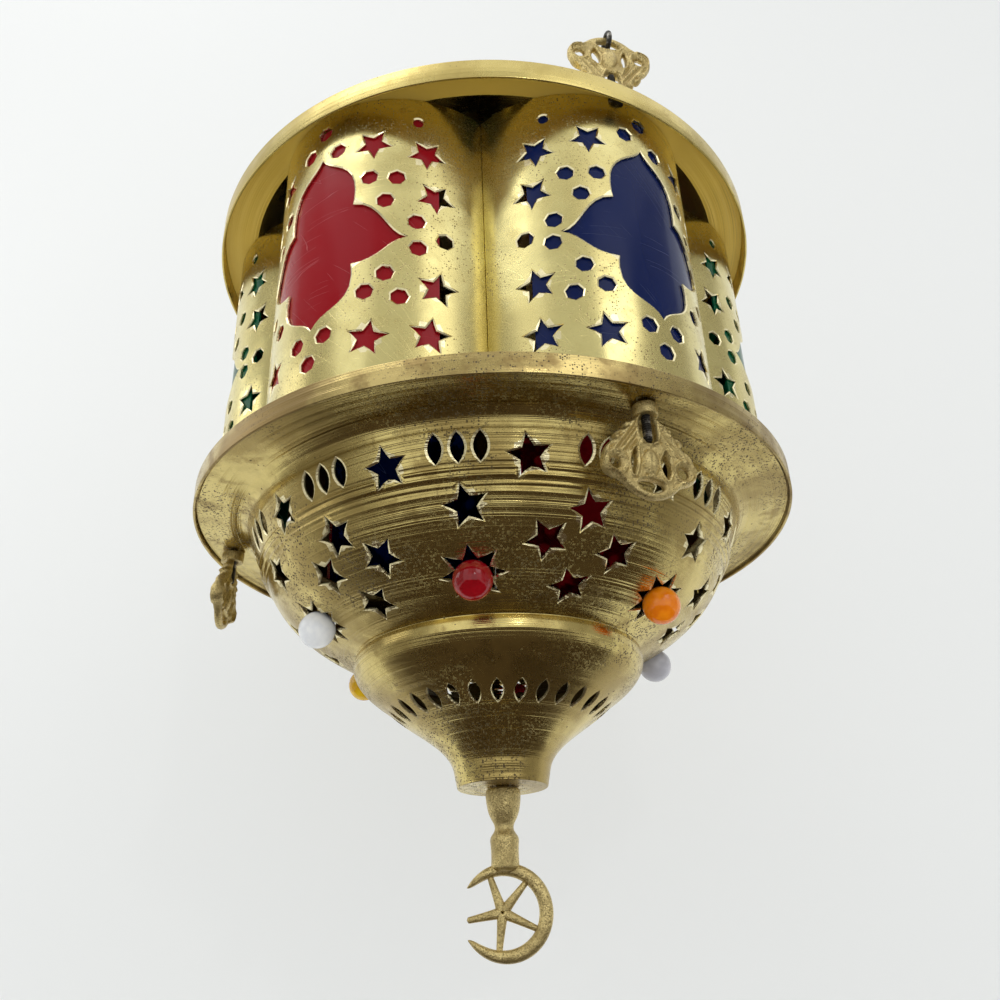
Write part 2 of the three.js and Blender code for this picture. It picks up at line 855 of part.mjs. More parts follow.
function hexNut(radius, bore, foot, height) {
  const corners = [];
  for (let i = 0; i < nutSides; i++) {
    const angle = (2 * Math.PI * i) / nutSides;
    corners.push(new THREE.Vector2(radius * Math.cos(angle), radius * Math.sin(angle)));
  }
  const shape = new THREE.Shape(corners);
  shape.holes.push(ellipse(0, 0, bore, bore));
  const settings = { depth: height, bevelEnabled: false, curveSegments: smallSteps / 2 };
  return new THREE.ExtrudeGeometry(shape, settings).translate(0, 0, foot);
}

// Lamp holder, with an inner groove that keeps the metal sleeve
function lampHolder() {
  const bore = nippleRadius + boreGap;
  const groove = sleeveRadius + gap;
  const throat = sleeveRadius - sheet;
  return spun(
    [
      [throat, holderFoot],
      [holderRadius, holderFoot],
      [holderRadius, holderTop - holderNeck - holderShoulder],
      [holderNeckRadius, holderTop - holderNeck],
      [holderNeckRadius, holderTop],
      [bore, holderTop],
      [bore, nippleFoot - gap],
      [throat, nippleFoot - gap - holderShoulder],
      [throat, sleeveFoot + sleeveHeight + gap],
      [groove, sleeveFoot + sleeveHeight + gap],
      [groove, sleeveFoot - gap],
      [throat, sleeveFoot - gap],
      [throat, holderFoot],
    ],
    middleSteps,
  );
}

function cordBush() {
  const plug = nippleBore - gap;
  const seat = nippleTop + gap;
  return spun(
    [
      [bushBore, seat - bushPlug],
      [plug, seat - bushPlug],
      [plug, seat],
      [nippleRadius, seat],
      [nippleRadius, seat + bushCollar],
      [bushBore, seat + bushCollar],
      [bushBore, seat - bushPlug],
    ],
    smallSteps,
  );
}

// Assembly
place("top_cap", topCap(), spunBrass);
place("base_rim", baseRim(), spunBrass);
place("lower_bowl", lowerBowl(), spunBrass);

const lugPanel = lobePanel(true);
const plainPanel = lobePanel(false);
const colourPane = colourSheet();
for (let k = 0; k < lobeCount; k++) {
  const lobe = frameAt(lobeAzimuth + (k * 360) / lobeCount);
  const carriesLug = k % (lobeCount / castCount) === 0;
  place("lobe_panel_" + (k + 1), (carriesLug ? lugPanel : plainPanel).clone(), panelBrass, lobe);
  place("colour_sheet_" + (k + 1), colourPane.clone(), sheetColours[sheetOrder[k]], lobe);
}

for (let k = 0; k < beadCount; k++) {
  place("glass_bead_" + (k + 1), glassBead(k), beadColours[k]);
}

const pendantSeat = flangeAt(pendantRadius - bossRadius) - gap;
for (let k = 0; k < castCount; k++) {
  const azimuth = castAzimuth + (k * 360) / castCount;
  const spot = frameAt(azimuth);
  const above = new THREE.Group();
  above.position.set(0, -lugRadius, capTop + gap);
  above.rotation.z = degrees(lugTurns[k]);
  spot.add(above);
  place("top_lug_" + (k + 1), casting.clone().rotateY(Math.PI), castBrass, above);
  place("chain_ring_" + (k + 1), chainRing(), darkSteel, above);
  const lugTip = capTop + gap + screwReach;
  const lugScrew = place("lug_screw_" + (k + 1), screw(lugTip, capSeat - gap), darkSteel, spot);
  lugScrew.position.set(0, -lugRadius, 0);

  const below = new THREE.Group();
  below.position.set(0, -pendantRadius, pendantSeat);
  below.rotation.z = degrees(pendantTurns[k]);
  spot.add(below);
  place("pendant_" + (k + 1), casting.clone(), castBrass, below);
  const pendantTip = pendantSeat - screwReach;
  const seat = shelfTop + gap;
  const pendantScrew = place("pendant_screw_" + (k + 1), screw(pendantTip, seat), darkSteel, spot);
  pendantScrew.position.set(0, -pendantRadius, 0);
}

const washerFoot = bowlFoot + sheet + gap;
const nutFoot = washerFoot + washerThickness + gap;
const studHole = studRadius + boreGap;
place("finial", finial(), castBrass);
place(
  "finial_washer",
  spunRing(studHole, washerRadius, washerFoot, washerFoot + washerThickness, middleSteps),
  castBrass,
);
place("finial_nut", hexNut(nutRadius, studHole, nutFoot, nutHeight), castBrass);

const nippleHole = nippleRadius + boreGap;
place("lamp_holder", lampHolder(), holderPlastic);
place(
  "holder_sleeve",
  spunRing(sleeveRadius - sheet, sleeveRadius, sleeveFoot, sleeveFoot + sleeveHeight, middleSteps),
  sleeveMetal,
);
place(
  "holder_nipple",
  spunRing(nippleBore, nippleRadius, nippleFoot, nippleTop, smallSteps),
  castBrass,
);
place("nipple_nut_upper", hexNut(lockNutRadius, nippleHole, crownTop + gap, lockNutHeight), castBrass);
place(
  "nipple_nut_lower",
  hexNut(lockNutRadius, nippleHole, lockNutTop - lockNutHeight, lockNutHeight),
  castBrass,
);
place("cord_bush", cordBush(), holderPlastic);

export default lantern;
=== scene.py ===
"""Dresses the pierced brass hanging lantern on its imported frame: smooth spun and pierced
sheets, castings, beads and coloured sheets, with their finishes, camera and light.
Sizes are millimetres measured from the lower edge of the base rim, as on the drawing, and
become metres in the frame's own place when a mesh is made."""
import math

import bmesh
import bpy
import numpy as np
from mathutils import Matrix, Vector
from mathutils.geometry import delaunay_2d_cdt


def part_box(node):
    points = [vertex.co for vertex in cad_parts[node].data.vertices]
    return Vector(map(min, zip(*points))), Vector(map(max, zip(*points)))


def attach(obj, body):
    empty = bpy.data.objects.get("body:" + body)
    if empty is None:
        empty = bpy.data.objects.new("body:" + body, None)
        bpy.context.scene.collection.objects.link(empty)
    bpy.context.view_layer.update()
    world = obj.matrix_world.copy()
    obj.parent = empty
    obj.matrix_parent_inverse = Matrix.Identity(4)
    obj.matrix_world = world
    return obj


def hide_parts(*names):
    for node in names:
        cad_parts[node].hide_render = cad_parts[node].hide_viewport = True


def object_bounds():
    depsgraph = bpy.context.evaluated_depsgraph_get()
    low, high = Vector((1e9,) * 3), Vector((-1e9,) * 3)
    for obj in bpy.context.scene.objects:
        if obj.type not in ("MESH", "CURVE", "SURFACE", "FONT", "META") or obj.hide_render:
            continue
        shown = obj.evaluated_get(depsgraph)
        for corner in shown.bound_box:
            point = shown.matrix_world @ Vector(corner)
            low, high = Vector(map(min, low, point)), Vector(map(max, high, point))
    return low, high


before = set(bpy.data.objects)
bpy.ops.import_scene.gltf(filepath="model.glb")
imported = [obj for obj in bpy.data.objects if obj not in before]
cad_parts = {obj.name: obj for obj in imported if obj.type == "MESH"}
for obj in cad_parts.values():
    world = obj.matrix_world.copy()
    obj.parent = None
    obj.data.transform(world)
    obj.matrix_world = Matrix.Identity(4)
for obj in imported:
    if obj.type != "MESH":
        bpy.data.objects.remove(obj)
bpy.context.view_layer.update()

MM = 0.001
ORIGIN_HEIGHT = -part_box("base_rim")[0].z / MM

# Sizes shared with the drawing
SHEET = 1.0
GAP = 0.3
RIM_RADIUS, RIM_LIP, SHELF_BORE = 125.0, 8.3, 92.0
SHELF_FOOT = 2.8
SHELF_TOP = SHELF_FOOT + SHEET
LOBES = 6
LOBE_AZIMUTH = 30.0
LOBE_RADIUS = 50.9
LOBE_OFFSET = 69.5
SEAM_DEPTH, SEAM_GAP = 5.0, 0.03
PANEL_FOOT = SHELF_TOP + GAP
PANEL_HEIGHT = 138.4
PANEL_TOP = PANEL_FOOT + PANEL_HEIGHT
MEDALLION_HEIGHT = PANEL_FOOT + PANEL_HEIGHT / 2 + 2.7
CAP_RADIUS, CAP_LIP = 126.95, 9.8
CROWN_RADIUS, CROWN_SHOULDER_RADIUS, CROWN_TOP_RADIUS = 112.5, 104.0, 17.0
CROWN_SHOULDER_RISE, CROWN_RISE = 9.0, 29.0
CAP_SEAT = PANEL_TOP + GAP
CAP_TOP = CAP_SEAT + SHEET
CROWN_TOP = CAP_TOP + CROWN_RISE
FLANGE_RADIUS = RIM_RADIUS - SHEET - 0.9
FLANGE_EDGE = SHELF_FOOT - GAP - SHEET
FLANGE_FALL = 1.1
BAND_RADIUS, BAND_CORNER, BAND_FOOT_RADIUS, BAND_HEIGHT = 101.9, 6.6, 97.0, 12.3
BELLY_RADIUS, BELLY_HEIGHT = 94.2, 31.7
GROOVE_RADIUS, BULGE_HEIGHT, BULGE_FOOT_RADIUS = 57.4, 18.5, 45.0
NECK_RADIUS, THROAT_HEIGHT, FOOT_RADIUS, FOOT_HEIGHT = 18.6, 25.0, 17.4, 6.2
BAND_TOP = FLANGE_EDGE - FLANGE_FALL - BAND_CORNER
BAND_FOOT = BAND_TOP - BAND_HEIGHT
BELLY_TOP = BAND_FOOT - 4.8
GROOVE_HEIGHT = BELLY_TOP - BELLY_HEIGHT
BULGE_FOOT = GROOVE_HEIGHT - BULGE_HEIGHT
THROAT_FOOT = BULGE_FOOT - THROAT_HEIGHT
BOWL_FOOT = THROAT_FOOT - FOOT_HEIGHT
BOWL_TURN = -6.0
BEAD_HEIGHT, BEAD_RADIUS, BEAD_STAND = -46.5, 7.0, 3.4


# Meshes
def unit(vectors):
    """The vectors, each at length 1."""
    return vectors / np.maximum(np.linalg.norm(vectors, axis=-1, keepdims=True), 1e-12)


def run_along(line):
    """How far each point of a line lies from its start, along the line."""
    return np.r_[0, np.cumsum(np.linalg.norm(np.diff(line, axis=0), axis=1))]


def add_layer(mesh, name, domain, values):
    """Keeps one value per face or point in the mesh, for the finishes to read."""
    layer = mesh.attributes.new(name, "FLOAT", domain)
    layer.data.foreach_set("value", np.asarray(values, np.float32))


def mesh_from(name, points, faces, normals=None, uv=None, side=None):
    """A mesh object from points in drawing millimetres. normals are one direction per
    face corner, uv one pair per point, side one value per face: 0 the show side, 1 a cut
    edge, 2 the inner side."""
    mesh = bpy.data.meshes.new(name)
    place = np.array(points, float) * MM
    place[:, 2] -= ORIGIN_HEIGHT * MM
    mesh.from_pydata(place.tolist(), [], [list(face) for face in faces])
    mesh.polygons.foreach_set("use_smooth", np.ones(len(mesh.polygons), bool))
    if uv is not None:
        corner_point = np.zeros(len(mesh.loops), np.int32)
        mesh.loops.foreach_get("vertex_index", corner_point)
        layer = mesh.uv_layers.new(name="surface")
        layer.data.foreach_set("uv", np.asarray(uv, np.float32)[corner_point].ravel())
    if side is not None:
        add_layer(mesh, "side", "FACE", side)
    if normals is not None:
        mesh.normals_split_custom_set(np.asarray(normals, float).tolist())
    mesh.update()
    piece = bpy.data.objects.new(name, mesh)
    bpy.context.scene.collection.objects.link(piece)
    return piece


def angles_round(steps):
    """Even angles, once round."""
    return np.linspace(0, 2 * np.pi, steps, endpoint=False)


def grid_faces(rows, columns, close_rows=False, close_columns=False):
    """The quads of a grid of points numbered row by row."""
    last_row = rows if close_rows else rows - 1
    last_column = columns if close_columns else columns - 1
    i, j = np.meshgrid(np.arange(last_row), np.arange(last_column), indexing="ij")
    i, j = i.ravel(), j.ravel()
    up, right = (i + 1) % rows, (j + 1) % columns
    return np.column_stack(
        [i * columns + j, i * columns + right, up * columns + right, up * columns + j]
    )


def open_edges(triangles):
    """The directed edges that only one triangle has."""
    edges = triangles[:, [0, 1, 1, 2, 2, 0]].reshape(-1, 2)
    key = np.sort(edges, axis=1)
    _, first, count = np.unique(key, axis=0, return_index=True, return_counts=True)
    return edges[first[count == 1]]


LEAST_PRESS = 0.02


def thick_sheet(name, points, normals, triangles, inner_points, uv, sunk=None):
    """A closed sheet: an outer face, the same face on the inner points, and walls round
    every open edge. sunk is how far each outer point is pressed in along its normal; faces
    that reach a pressed point are flat and count as cut edges."""
    outer = normals[triangles]
    pressed = np.zeros(len(triangles), bool)
    if sunk is not None:
        points = points - normals * sunk[:, None]
        pressed = (sunk[triangles] > LEAST_PRESS).any(axis=1)
        a, b, c = (points[triangles[pressed, k]] for k in range(3))
        outer[pressed] = unit(np.cross(b - a, c - a))[:, None]
    start, end = open_edges(triangles).T
    count = len(points)
    walls = np.column_stack([end, start, start + count, end + count])
    inner = triangles[:, ::-1] + count
    both = np.vstack([points, inner_points])
    corner = both[walls]
    across = unit(np.cross(corner[:, 2] - corner[:, 0], corner[:, 3] - corner[:, 1]))
    inward = -normals[triangles[:, ::-1].ravel()]
    directions = np.vstack([outer.reshape(-1, 3), inward, np.repeat(across, 4, axis=0)])
    side = np.r_[pressed, np.repeat([2, 1], [len(inner), len(walls)])]
    faces = triangles.tolist() + inner.tolist() + walls.tolist()
    return mesh_from(name, both, faces, directions, np.vstack([uv, uv]), side)


def in_box(points, outline, room=0.0):
    """Which points lie in the box round an outline, made larger by room on each side."""
    low, high = outline.min(0) - room, outline.max(0) + room
    return np.all((points > low) & (points < high), axis=1)


def inside_outline(points, outline):
    """Which points lie inside a closed outline, by counting its crossings to their right."""
    x, y = points[:, :1], points[:, 1:]
    ax, ay = outline[:, 0], outline[:, 1]
    bx, by = np.roll(ax, -1), np.roll(ay, -1)
    spans = (ay > y) != (by > y)
    with np.errstate(divide="ignore", invalid="ignore"):
        cross = (bx - ax) * (y - ay) / (by - ay) + ax
    return (spans & (x < cross)).sum(axis=1) % 2 == 1


def outline_distance(points, outline):
    """The distance from each point to a closed outline."""
    a, b = outline, np.roll(outline, -1, axis=0)
    along = b - a
    share = ((points[:, None] - a) * along).sum(2) / np.maximum((along**2).sum(1), 1e-12)
    nearest = a + along * np.clip(share, 0, 1)[:, :, None]
    return np.linalg.norm(points[:, None] - nearest, axis=2).min(axis=1)


def inside_any(points, holes):
    """Which points lie inside one of several closed outlines."""
    inside = np.zeros(len(points), bool)
    for hole in holes:
        near = np.nonzero(in_box(points, hole))[0]
        inside[near] |= inside_outline(points[near], hole)
    return inside


def rings_meshed(grid, rings):
    """Triangles between loose points and closed outlines, whose edges are all kept."""
    edges, start = [], len(grid)
    for ring in rings:
        number = np.arange(start, start + len(ring))
        edges += np.column_stack([number, np.roll(number, -1)]).tolist()
        start += len(ring)
    points = np.vstack([grid, *rings])
    made = delaunay_2d_cdt([Vector(p) for p in points.tolist()], edges, [], 0, 1e-6)
    return np.array([tuple(p) for p in made[0]]), np.array(made[2])


# Width and depth of the edge that a punch presses in round a hole
EDGE_WIDE, EDGE_DEEP = 0.6, 0.36


def margin_of(outline):
    """An outline moved outwards by the width of a hole's pressed-in edge, at right angles to
    the line through the corners before and after each corner."""
    along = np.roll(outline, -1, axis=0) - np.roll(outline, 1, axis=0)
    out = np.column_stack([along[:, 1], -along[:, 0]])
    x, y = outline.T
    turn = np.sign(np.dot(x, np.roll(y, -1)) - np.dot(y, np.roll(x, -1)))
    return outline + turn * EDGE_WIDE * unit(out)


def pressed_in(spots, holes):
    """How far a punch pressed each spot in: the full depth on a hole's outline and nothing
    at the width of the edge from it, in a straight fall."""
    share = np.zeros(len(spots))
    for hole in holes:
        near = np.nonzero(in_box(spots, hole, EDGE_WIDE))[0]
        fall = 1 - outline_distance(spots[near], hole) / EDGE_WIDE
        share[near] = np.maximum(share[near], fall)
    return share * EDGE_DEEP


def cut_grid(xs, ys, holes, room):
    """Points and triangles of a rectangle with grid lines xs and ys, cut by closed outlines.
    Grid points in a hole, or nearer than room to its outline, give way to the outline."""
    grid_x, grid_y = np.meshgrid(xs, ys)
    grid = np.column_stack([grid_x.ravel(), grid_y.ravel()])
    on_edge = np.isin(grid[:, 0], [xs[0], xs[-1]]) | np.isin(grid[:, 1], [ys[0], ys[-1]])
    keep = np.ones(len(grid), bool)
    for hole in holes:
        near = np.nonzero(in_box(grid, hole, room) & ~on_edge)[0]
        spot = grid[near]
        drop = inside_outline(spot, hole) | (outline_distance(spot, hole) < room)
        keep[near[drop]] = False
    spots, triangles = rings_meshed(grid[keep], [*holes, *map(margin_of, holes)])
    return spots, triangles[~inside_any(spots[triangles].mean(axis=1), holes)]


def cut_plate(outline, holes, step, room):
    """Points and triangles of a flat plate with a closed outline and closed holes."""
    low, high = outline.min(0), outline.max(0)
    across, up = np.meshgrid(np.arange(low[0], high[0], step), np.arange(low[1], high[1], step))
    grid = np.column_stack([across.ravel(), up.ravel()])
    rings = [outline, *holes]

    def solid(points):
        return inside_outline(points, outline) & ~inside_any(points, holes)

    near = np.min([outline_distance(grid, ring) for ring in rings], axis=0) < room
    spots, triangles = rings_meshed(grid[solid(grid) & ~near], rings)
    return spots, triangles[solid(spots[triangles].mean(axis=1))]


def stitched(spots, triangles, low, high):
    """Joins the right edge of a cut grid to its left edge, where the surface closes."""
    left = np.nonzero(np.isclose(spots[:, 0], low))[0]
    right = np.nonzero(np.isclose(spots[:, 0], high))[0]
    left = left[np.argsort(spots[left, 1])]
    right = right[np.argsort(spots[right, 1])]
    onto = np.arange(len(spots))
    onto[right] = left
    return onto[triangles]


def lathe(profile, steps, thread=None, pitch=0.7):
    """Points, quads and uv of a closed loop of [radius, height] points carried round the Z
    axis. thread is how deep each point is cut by a screw thread: the radius loses that depth
    times a wave that rises and falls once for each pitch of height and each turn."""
    profile = np.asarray(profile, float)
    angle = angles_round(steps)
    radius, height = profile[:, :1], profile[:, 1:]
    if thread is not None:
        phase = (height / pitch - angle / (2 * np.pi)) % 1
        radius = radius - np.asarray(thread)[:, None] * np.abs(2 * phase - 1)
    x, y = radius * np.sin(angle), -radius * np.cos(angle)
    points = np.stack([x, y, np.broadcast_to(height, x.shape)], axis=2).reshape(-1, 3)
    faces = grid_faces(len(profile), steps, close_rows=True, close_columns=True)[:, ::-1]
    run = run_along(profile)[:, None] * MM
    uv = np.stack(np.broadcast_arrays(angle / (2 * np.pi), run), axis=2)
    return points, faces, uv.reshape(-1, 2)


def turned(name, profile, steps, thread=None, pitch=0.7, place=(0, 0)):
    """A closed solid of revolution about an upright axis at a place."""
    points, faces, uv = lathe(profile, steps, thread, pitch)
    piece = mesh_from(name, points + (*place, 0), faces, uv=uv)
    tidy(piece)
    return piece


def tidy(piece, angle=38):
    """Merges doubled points, turns the faces outwards and keeps the edges over an angle
    sharp."""
    shape = bmesh.new()
    shape.from_mesh(piece.data)
    bmesh.ops.remove_doubles(shape, verts=shape.verts, dist=1e-6)
    bmesh.ops.dissolve_degenerate(shape, edges=shape.edges, dist=1e-7)
    bmesh.ops.recalc_face_normals(shape, faces=shape.faces)
    shape.to_mesh(piece.data)
    shape.free()
    piece.data.set_sharp_from_angle(angle=math.radians(angle))


def rounded_run(corners, radius, steps=4):
    """A line through [radius, height] corners with each inner corner rounded by an arc of
    about the given radius, as a quadratic bend between two points on its sides."""
    corners = [np.asarray(c, float) for c in corners]
    line = [corners[0]]
    for before, at, after in zip(corners, corners[1:], corners[2:]):
        back, on = before - at, after - at
        cut = min(radius, 0.45 * np.linalg.norm(back), 0.45 * np.linalg.norm(on))
        first, last = at + unit(back) * cut, at + unit(on) * cut
        for t in np.linspace(0, 1, steps + 1):
            line.append(first * (1 - t) ** 2 + at * 2 * t * (1 - t) + last * t**2)
    line.append(corners[-1])
    return np.array(line)


def rounded_loop(corners, radius, steps=4):
    """A closed loop through corners, all rounded."""
    corners = [np.asarray(c, float) for c in corners]
    middle = (corners[0] + corners[-1]) / 2
    return rounded_run([middle, *corners, middle], radius, steps)[:-1]


def cubic(a, b, c, d, steps):
    """Points of a cubic bend from a to d with the controls b and c."""
    a, b, c, d = (np.asarray(p, float) for p in (a, b, c, d))
    t = np.linspace(0, 1, steps + 1)[:, None]
    return a * (1 - t) ** 3 + 3 * b * t * (1 - t) ** 2 + 3 * c * t * t * (1 - t) + d * t**3


# Hole outlines
def star_outline(radius, points=5, waist=0.45, lean=0.0, hollow=0.035):
    """A star: its corners lie in turn on an outer and an inner circle, and the middle of
    each side is drawn in a little, as a punch leaves it."""
    step = np.arange(2 * points)
    angle = np.pi / 2 + math.radians(lean) + step * np.pi / points
    reach = np.where(step % 2, radius * waist, radius)
    corners = np.column_stack([reach * np.cos(angle), reach * np.sin(angle)])
    middles = (corners + np.roll(corners, -1, axis=0)) / 2
    middles *= 1 - hollow * radius / np.linalg.norm(middles, axis=1, keepdims=True)
    return np.stack([corners, middles], axis=1).reshape(-1, 2)


def round_outline(radius, sides, turn=0.0):
    """A round hole as an even polygon, its first corner turned by some degrees."""
    angle = angles_round(sides) + math.radians(turn)
    return np.column_stack([radius * np.cos(angle), radius * np.sin(angle)])


def almond_outline(half_width, half_height, lean=0.0, steps=7):
    """Two arcs that meet in points above and below."""
    y = np.linspace(-1, 1, steps + 1)
    x = half_width * (1 - y**2)
    right = np.column_stack([x, y * half_height])[:-1]
    left = np.column_stack([-x, y * half_height])[1:][::-1]
    outline = np.vstack([right, left])
    a = math.radians(lean)
    turn = np.array([[math.cos(a), math.sin(a)], [-math.sin(a), math.cos(a)]])
    return outline @ turn


# Bends of the medallion's right half, as four control points and a number of steps: down
# from the top point to the upper notch, out to the side point, back to the lower notch and
# down to the foot point
MEDALLION_FOOT = (0, -40)
MEDALLION_BENDS = [
    ((0, 42.7), (3, 35), (15.9, 36), (15.9, 20), 9),
    ((15.9, 20), (15.9, 17), (15.8, 15), (15.4, 13.2), 2),
    ((15.4, 13.2), (27, 12), (28.5, -4), (36.1, -4.8), 8),
    ((36.1, -4.8), (28.5, -6.5), (27, -15.5), (15.5, -15.5), 8),
    ((15.5, -15.5), (15.8, -17), (16, -19), (16, -21), 2),
    ((16, -21), (16, -35), (3, -33), MEDALLION_FOOT, 8),
]


def medallion_outline():
    """A pointed quatrefoil, its right half mirrored."""
    right = np.vstack([*(cubic(*bend)[:-1] for bend in MEDALLION_BENDS), MEDALLION_FOOT])
    left = right[::-1] * (-1, 1)
    return np.vstack([right, left[1:-1]])[::-1]


# Bowl
# Turned ribs, as height, half width and how far they stand out
RIBS = [(BAND_FOOT + 0.2, 0.9, 0.45), (BAND_FOOT - 2.0, 1.1, 0.55), (BAND_FOOT - 4.4, 1.1, 0.5)]
STUD_HOLE = 2.8
# Distance between points of the bowl's line, and weights that soften its corners
LINE_STEP = 0.2
SOFTENING = np.array([0.1, 0.2, 0.4, 0.2, 0.1])
# Shares across and down, between the ends of a bend, of its two control points
BELLY_BEND = ((0.17, 0.46), (0.5, 0.72))
BULGE_BEND = ((-0.24, 0.36), (0.3, 0.68))
THROAT_BEND = ((0.34, 0.34), (0.94, 0.6))


def bend_between(a, b, shares, steps):
    """A cubic bend from a to b whose control points lie at shares of the way across and
    down."""
    a, b = np.array(a), np.array(b)
    first, second = (a + (b - a) * share for share in shares)
    return cubic(a, first, second, b, steps)


def bowl_profile():
    """The outer line of the bowl as evenly spaced [radius, height] points, from the edge of
    the flange down to the foot and in to the hole for the stud."""
    flange_foot = FLANGE_EDGE - FLANGE_FALL
    belly, groove = (BELLY_RADIUS, BELLY_TOP), (GROOVE_RADIUS, GROOVE_HEIGHT)
    bulge, neck = (BULGE_FOOT_RADIUS, BULGE_FOOT), (NECK_RADIUS, THROAT_FOOT)
    line = np.vstack([
        (FLANGE_RADIUS, FLANGE_EDGE),
        cubic((BAND_RADIUS + BAND_CORNER, flange_foot), (104.5, flange_foot),
              (BAND_RADIUS, -2.2), (BAND_RADIUS, BAND_TOP), 30),
        (BAND_FOOT_RADIUS, BAND_FOOT),
        bend_between(belly, groove, BELLY_BEND, 80),
        bend_between(groove, bulge, BULGE_BEND, 60),
        bend_between(bulge, neck, THROAT_BEND, 60),
        (FOOT_RADIUS, BOWL_FOOT),
        (STUD_HOLE, BOWL_FOOT),
    ])
    run = run_along(line)
    keep = np.r_[True, np.diff(run) > 1e-6]
    line, run = line[keep], run[keep]
    even = np.arange(0, run[-1], LINE_STEP)
    line = np.column_stack([np.interp(even, run, line[:, k]) for k in (0, 1)])
    for k in (0, 1):
        line[2:-2, k] = np.convolve(line[:, k], SOFTENING, "valid")
    return line


def rib_height(line):
    """How far the turned ribs stand from the line: a squared cosine over each rib's width."""
    return sum(
        high * np.maximum(0, np.cos((line[:, 1] - at) / wide * np.pi / 2)) ** 2
        * (np.abs(line[:, 1] - at) < wide)
        for at, wide, high in RIBS
    )


def profile_normals(line):
    """Outward normals of a line that runs down the outside of a turned piece."""
    along = np.gradient(line, axis=0)
    return unit(np.column_stack([-along[:, 1], along[:, 0]]))


BOWL_BASE = bowl_profile()
BOWL_RUN = run_along(BOWL_BASE)
BASE_NORMAL = profile_normals(BOWL_BASE)
BOWL_LINE = BOWL_BASE + BASE_NORMAL * rib_height(BOWL_BASE)[:, None]
BOWL_NORMAL = profile_normals(BOWL_LINE)
# Radius at which the bowl is unrolled to be cut
UNROLL = 70.0


def bowl_run_at(height):
    """How far down the bowl's line a height lies."""
    return float(np.interp(-height, -BOWL_BASE[:, 1], BOWL_RUN))


def spun_round(spots, line, normal):
    """Spots as [angle times the unrolling length, run down the line] carried round the
    axis on a line, with the line's normals carried round as well."""
    angle, run = spots[:, 0] / UNROLL, spots[:, 1]
    radius, height, out, up = (
        np.interp(run, BOWL_RUN, column) for column in (*line.T, *normal.T)
    )
    sine, cosine = np.sin(angle), -np.cos(angle)
    points = np.column_stack([radius * sine, radius * cosine, height])
    normals = np.column_stack([out * sine, out * cosine, up])
    return points, normals


def bowl_surface(spots):
    """Spots put on the bowl's outer face."""
    return spun_round(spots, BOWL_LINE, BOWL_NORMAL)


FOOT_CORNER = bowl_run_at(BOWL_FOOT + 0.01)


def bowl_inner(spots):
    """Spots put on the bowl's inner face, one sheet thickness in from the line without its
    ribs, and less at the sharp corner of the foot."""
    depth = SHEET * np.interp(np.abs(BOWL_RUN - FOOT_CORNER), [0, 1.5], [0.45, 1])
    return spun_round(spots, BOWL_BASE - BASE_NORMAL * depth[:, None], BASE_NORMAL)[0]


def on_bowl(outline, azimuth, height):
    """An outline in millimetres, across and up, moved onto the unrolled bowl."""
    run = bowl_run_at(height)
    radius = np.interp(run, BOWL_RUN, BOWL_LINE[:, 0])
    across = math.radians(azimuth) * UNROLL + outline[:, 0] * UNROLL / radius
    return np.column_stack([across, run - outline[:, 1]])


# Stars of one sixth of the belly, as azimuth from the bead, height and lean
BELLY_STARS = [(0, -29.9, 8), (28, -29.5, 13), (19, -39, 28), (37, -39.5, 31), (28, -48.7, 24)]
STAR_RADIUS, BEAD_STAR_RADIUS = 8.0, 12.0
# Twelve times round the band: three almonds and, beside them, a star
BAND_START, TRIPLE_STEP, BAND_STAR_TURN, BAND_STAR_LEAN = -0.6, 4.5, 14.6, 8
TRIPLE_HEIGHT, BAND_STAR_HEIGHT = -11.4, -14.6
SLOT_COUNT, SLOT_START, SLOT_HEIGHT = 30, -1.05, -77.8
# Half widths and half heights of the almonds in the band and of the slots in the bulge
BAND_ALMOND, SLOT_ALMOND = (2.5, 5.4), (2.1, 5.0)
# Azimuth at which the bowl is opened to be unrolled, and its grid columns
BOWL_SEAM, BOWL_COLUMNS = -177.0, 260


def bowl_holes(rng):
    """Every hole of the bowl: bead stars, stars round them, the band and the lower slots,
    each moved by whole turns to lie on the unrolled bowl."""
    holes = []
    seat = math.sqrt(BEAD_RADIUS**2 - BEAD_STAND**2) + GAP
    bead_star = star_outline(BEAD_STAR_RADIUS, 8, seat / BEAD_STAR_RADIUS, 3)
    for k in range(6):
        middle = BOWL_TURN + 60 * k
        holes.append(on_bowl(bead_star, middle, BEAD_HEIGHT))
        for turn, height, lean in BELLY_STARS:
            shift, rise, twist = rng.uniform((-0.8, -0.8, -5), (0.8, 0.8, 5))
            outline = star_outline(STAR_RADIUS, lean=lean + twist)
            holes.append(on_bowl(outline, middle + turn + shift, height + rise))
    for k in range(12):
        middle = BOWL_TURN + BAND_START + 30 * k
        shift, twist = rng.uniform((-0.6, -4), (0.6, 4))
        outline = star_outline(STAR_RADIUS, lean=BAND_STAR_LEAN + twist)
        holes.append(on_bowl(outline, middle + BAND_STAR_TURN + shift, BAND_STAR_HEIGHT))
        for turn in (-TRIPLE_STEP, 0, TRIPLE_STEP):
            outline = almond_outline(*BAND_ALMOND, rng.uniform(-3, 3))
            holes.append(on_bowl(outline, middle + turn, TRIPLE_HEIGHT))
    for k in range(SLOT_COUNT):
        azimuth = SLOT_START + 360 / SLOT_COUNT * k
        holes.append(on_bowl(almond_outline(*SLOT_ALMOND), azimuth, SLOT_HEIGHT))
    seam, whole = math.radians(BOWL_SEAM) * UNROLL, 2 * np.pi * UNROLL
    return [hole - ((hole[:, 0].mean() - seam) // whole * whole, 0) for hole in holes]


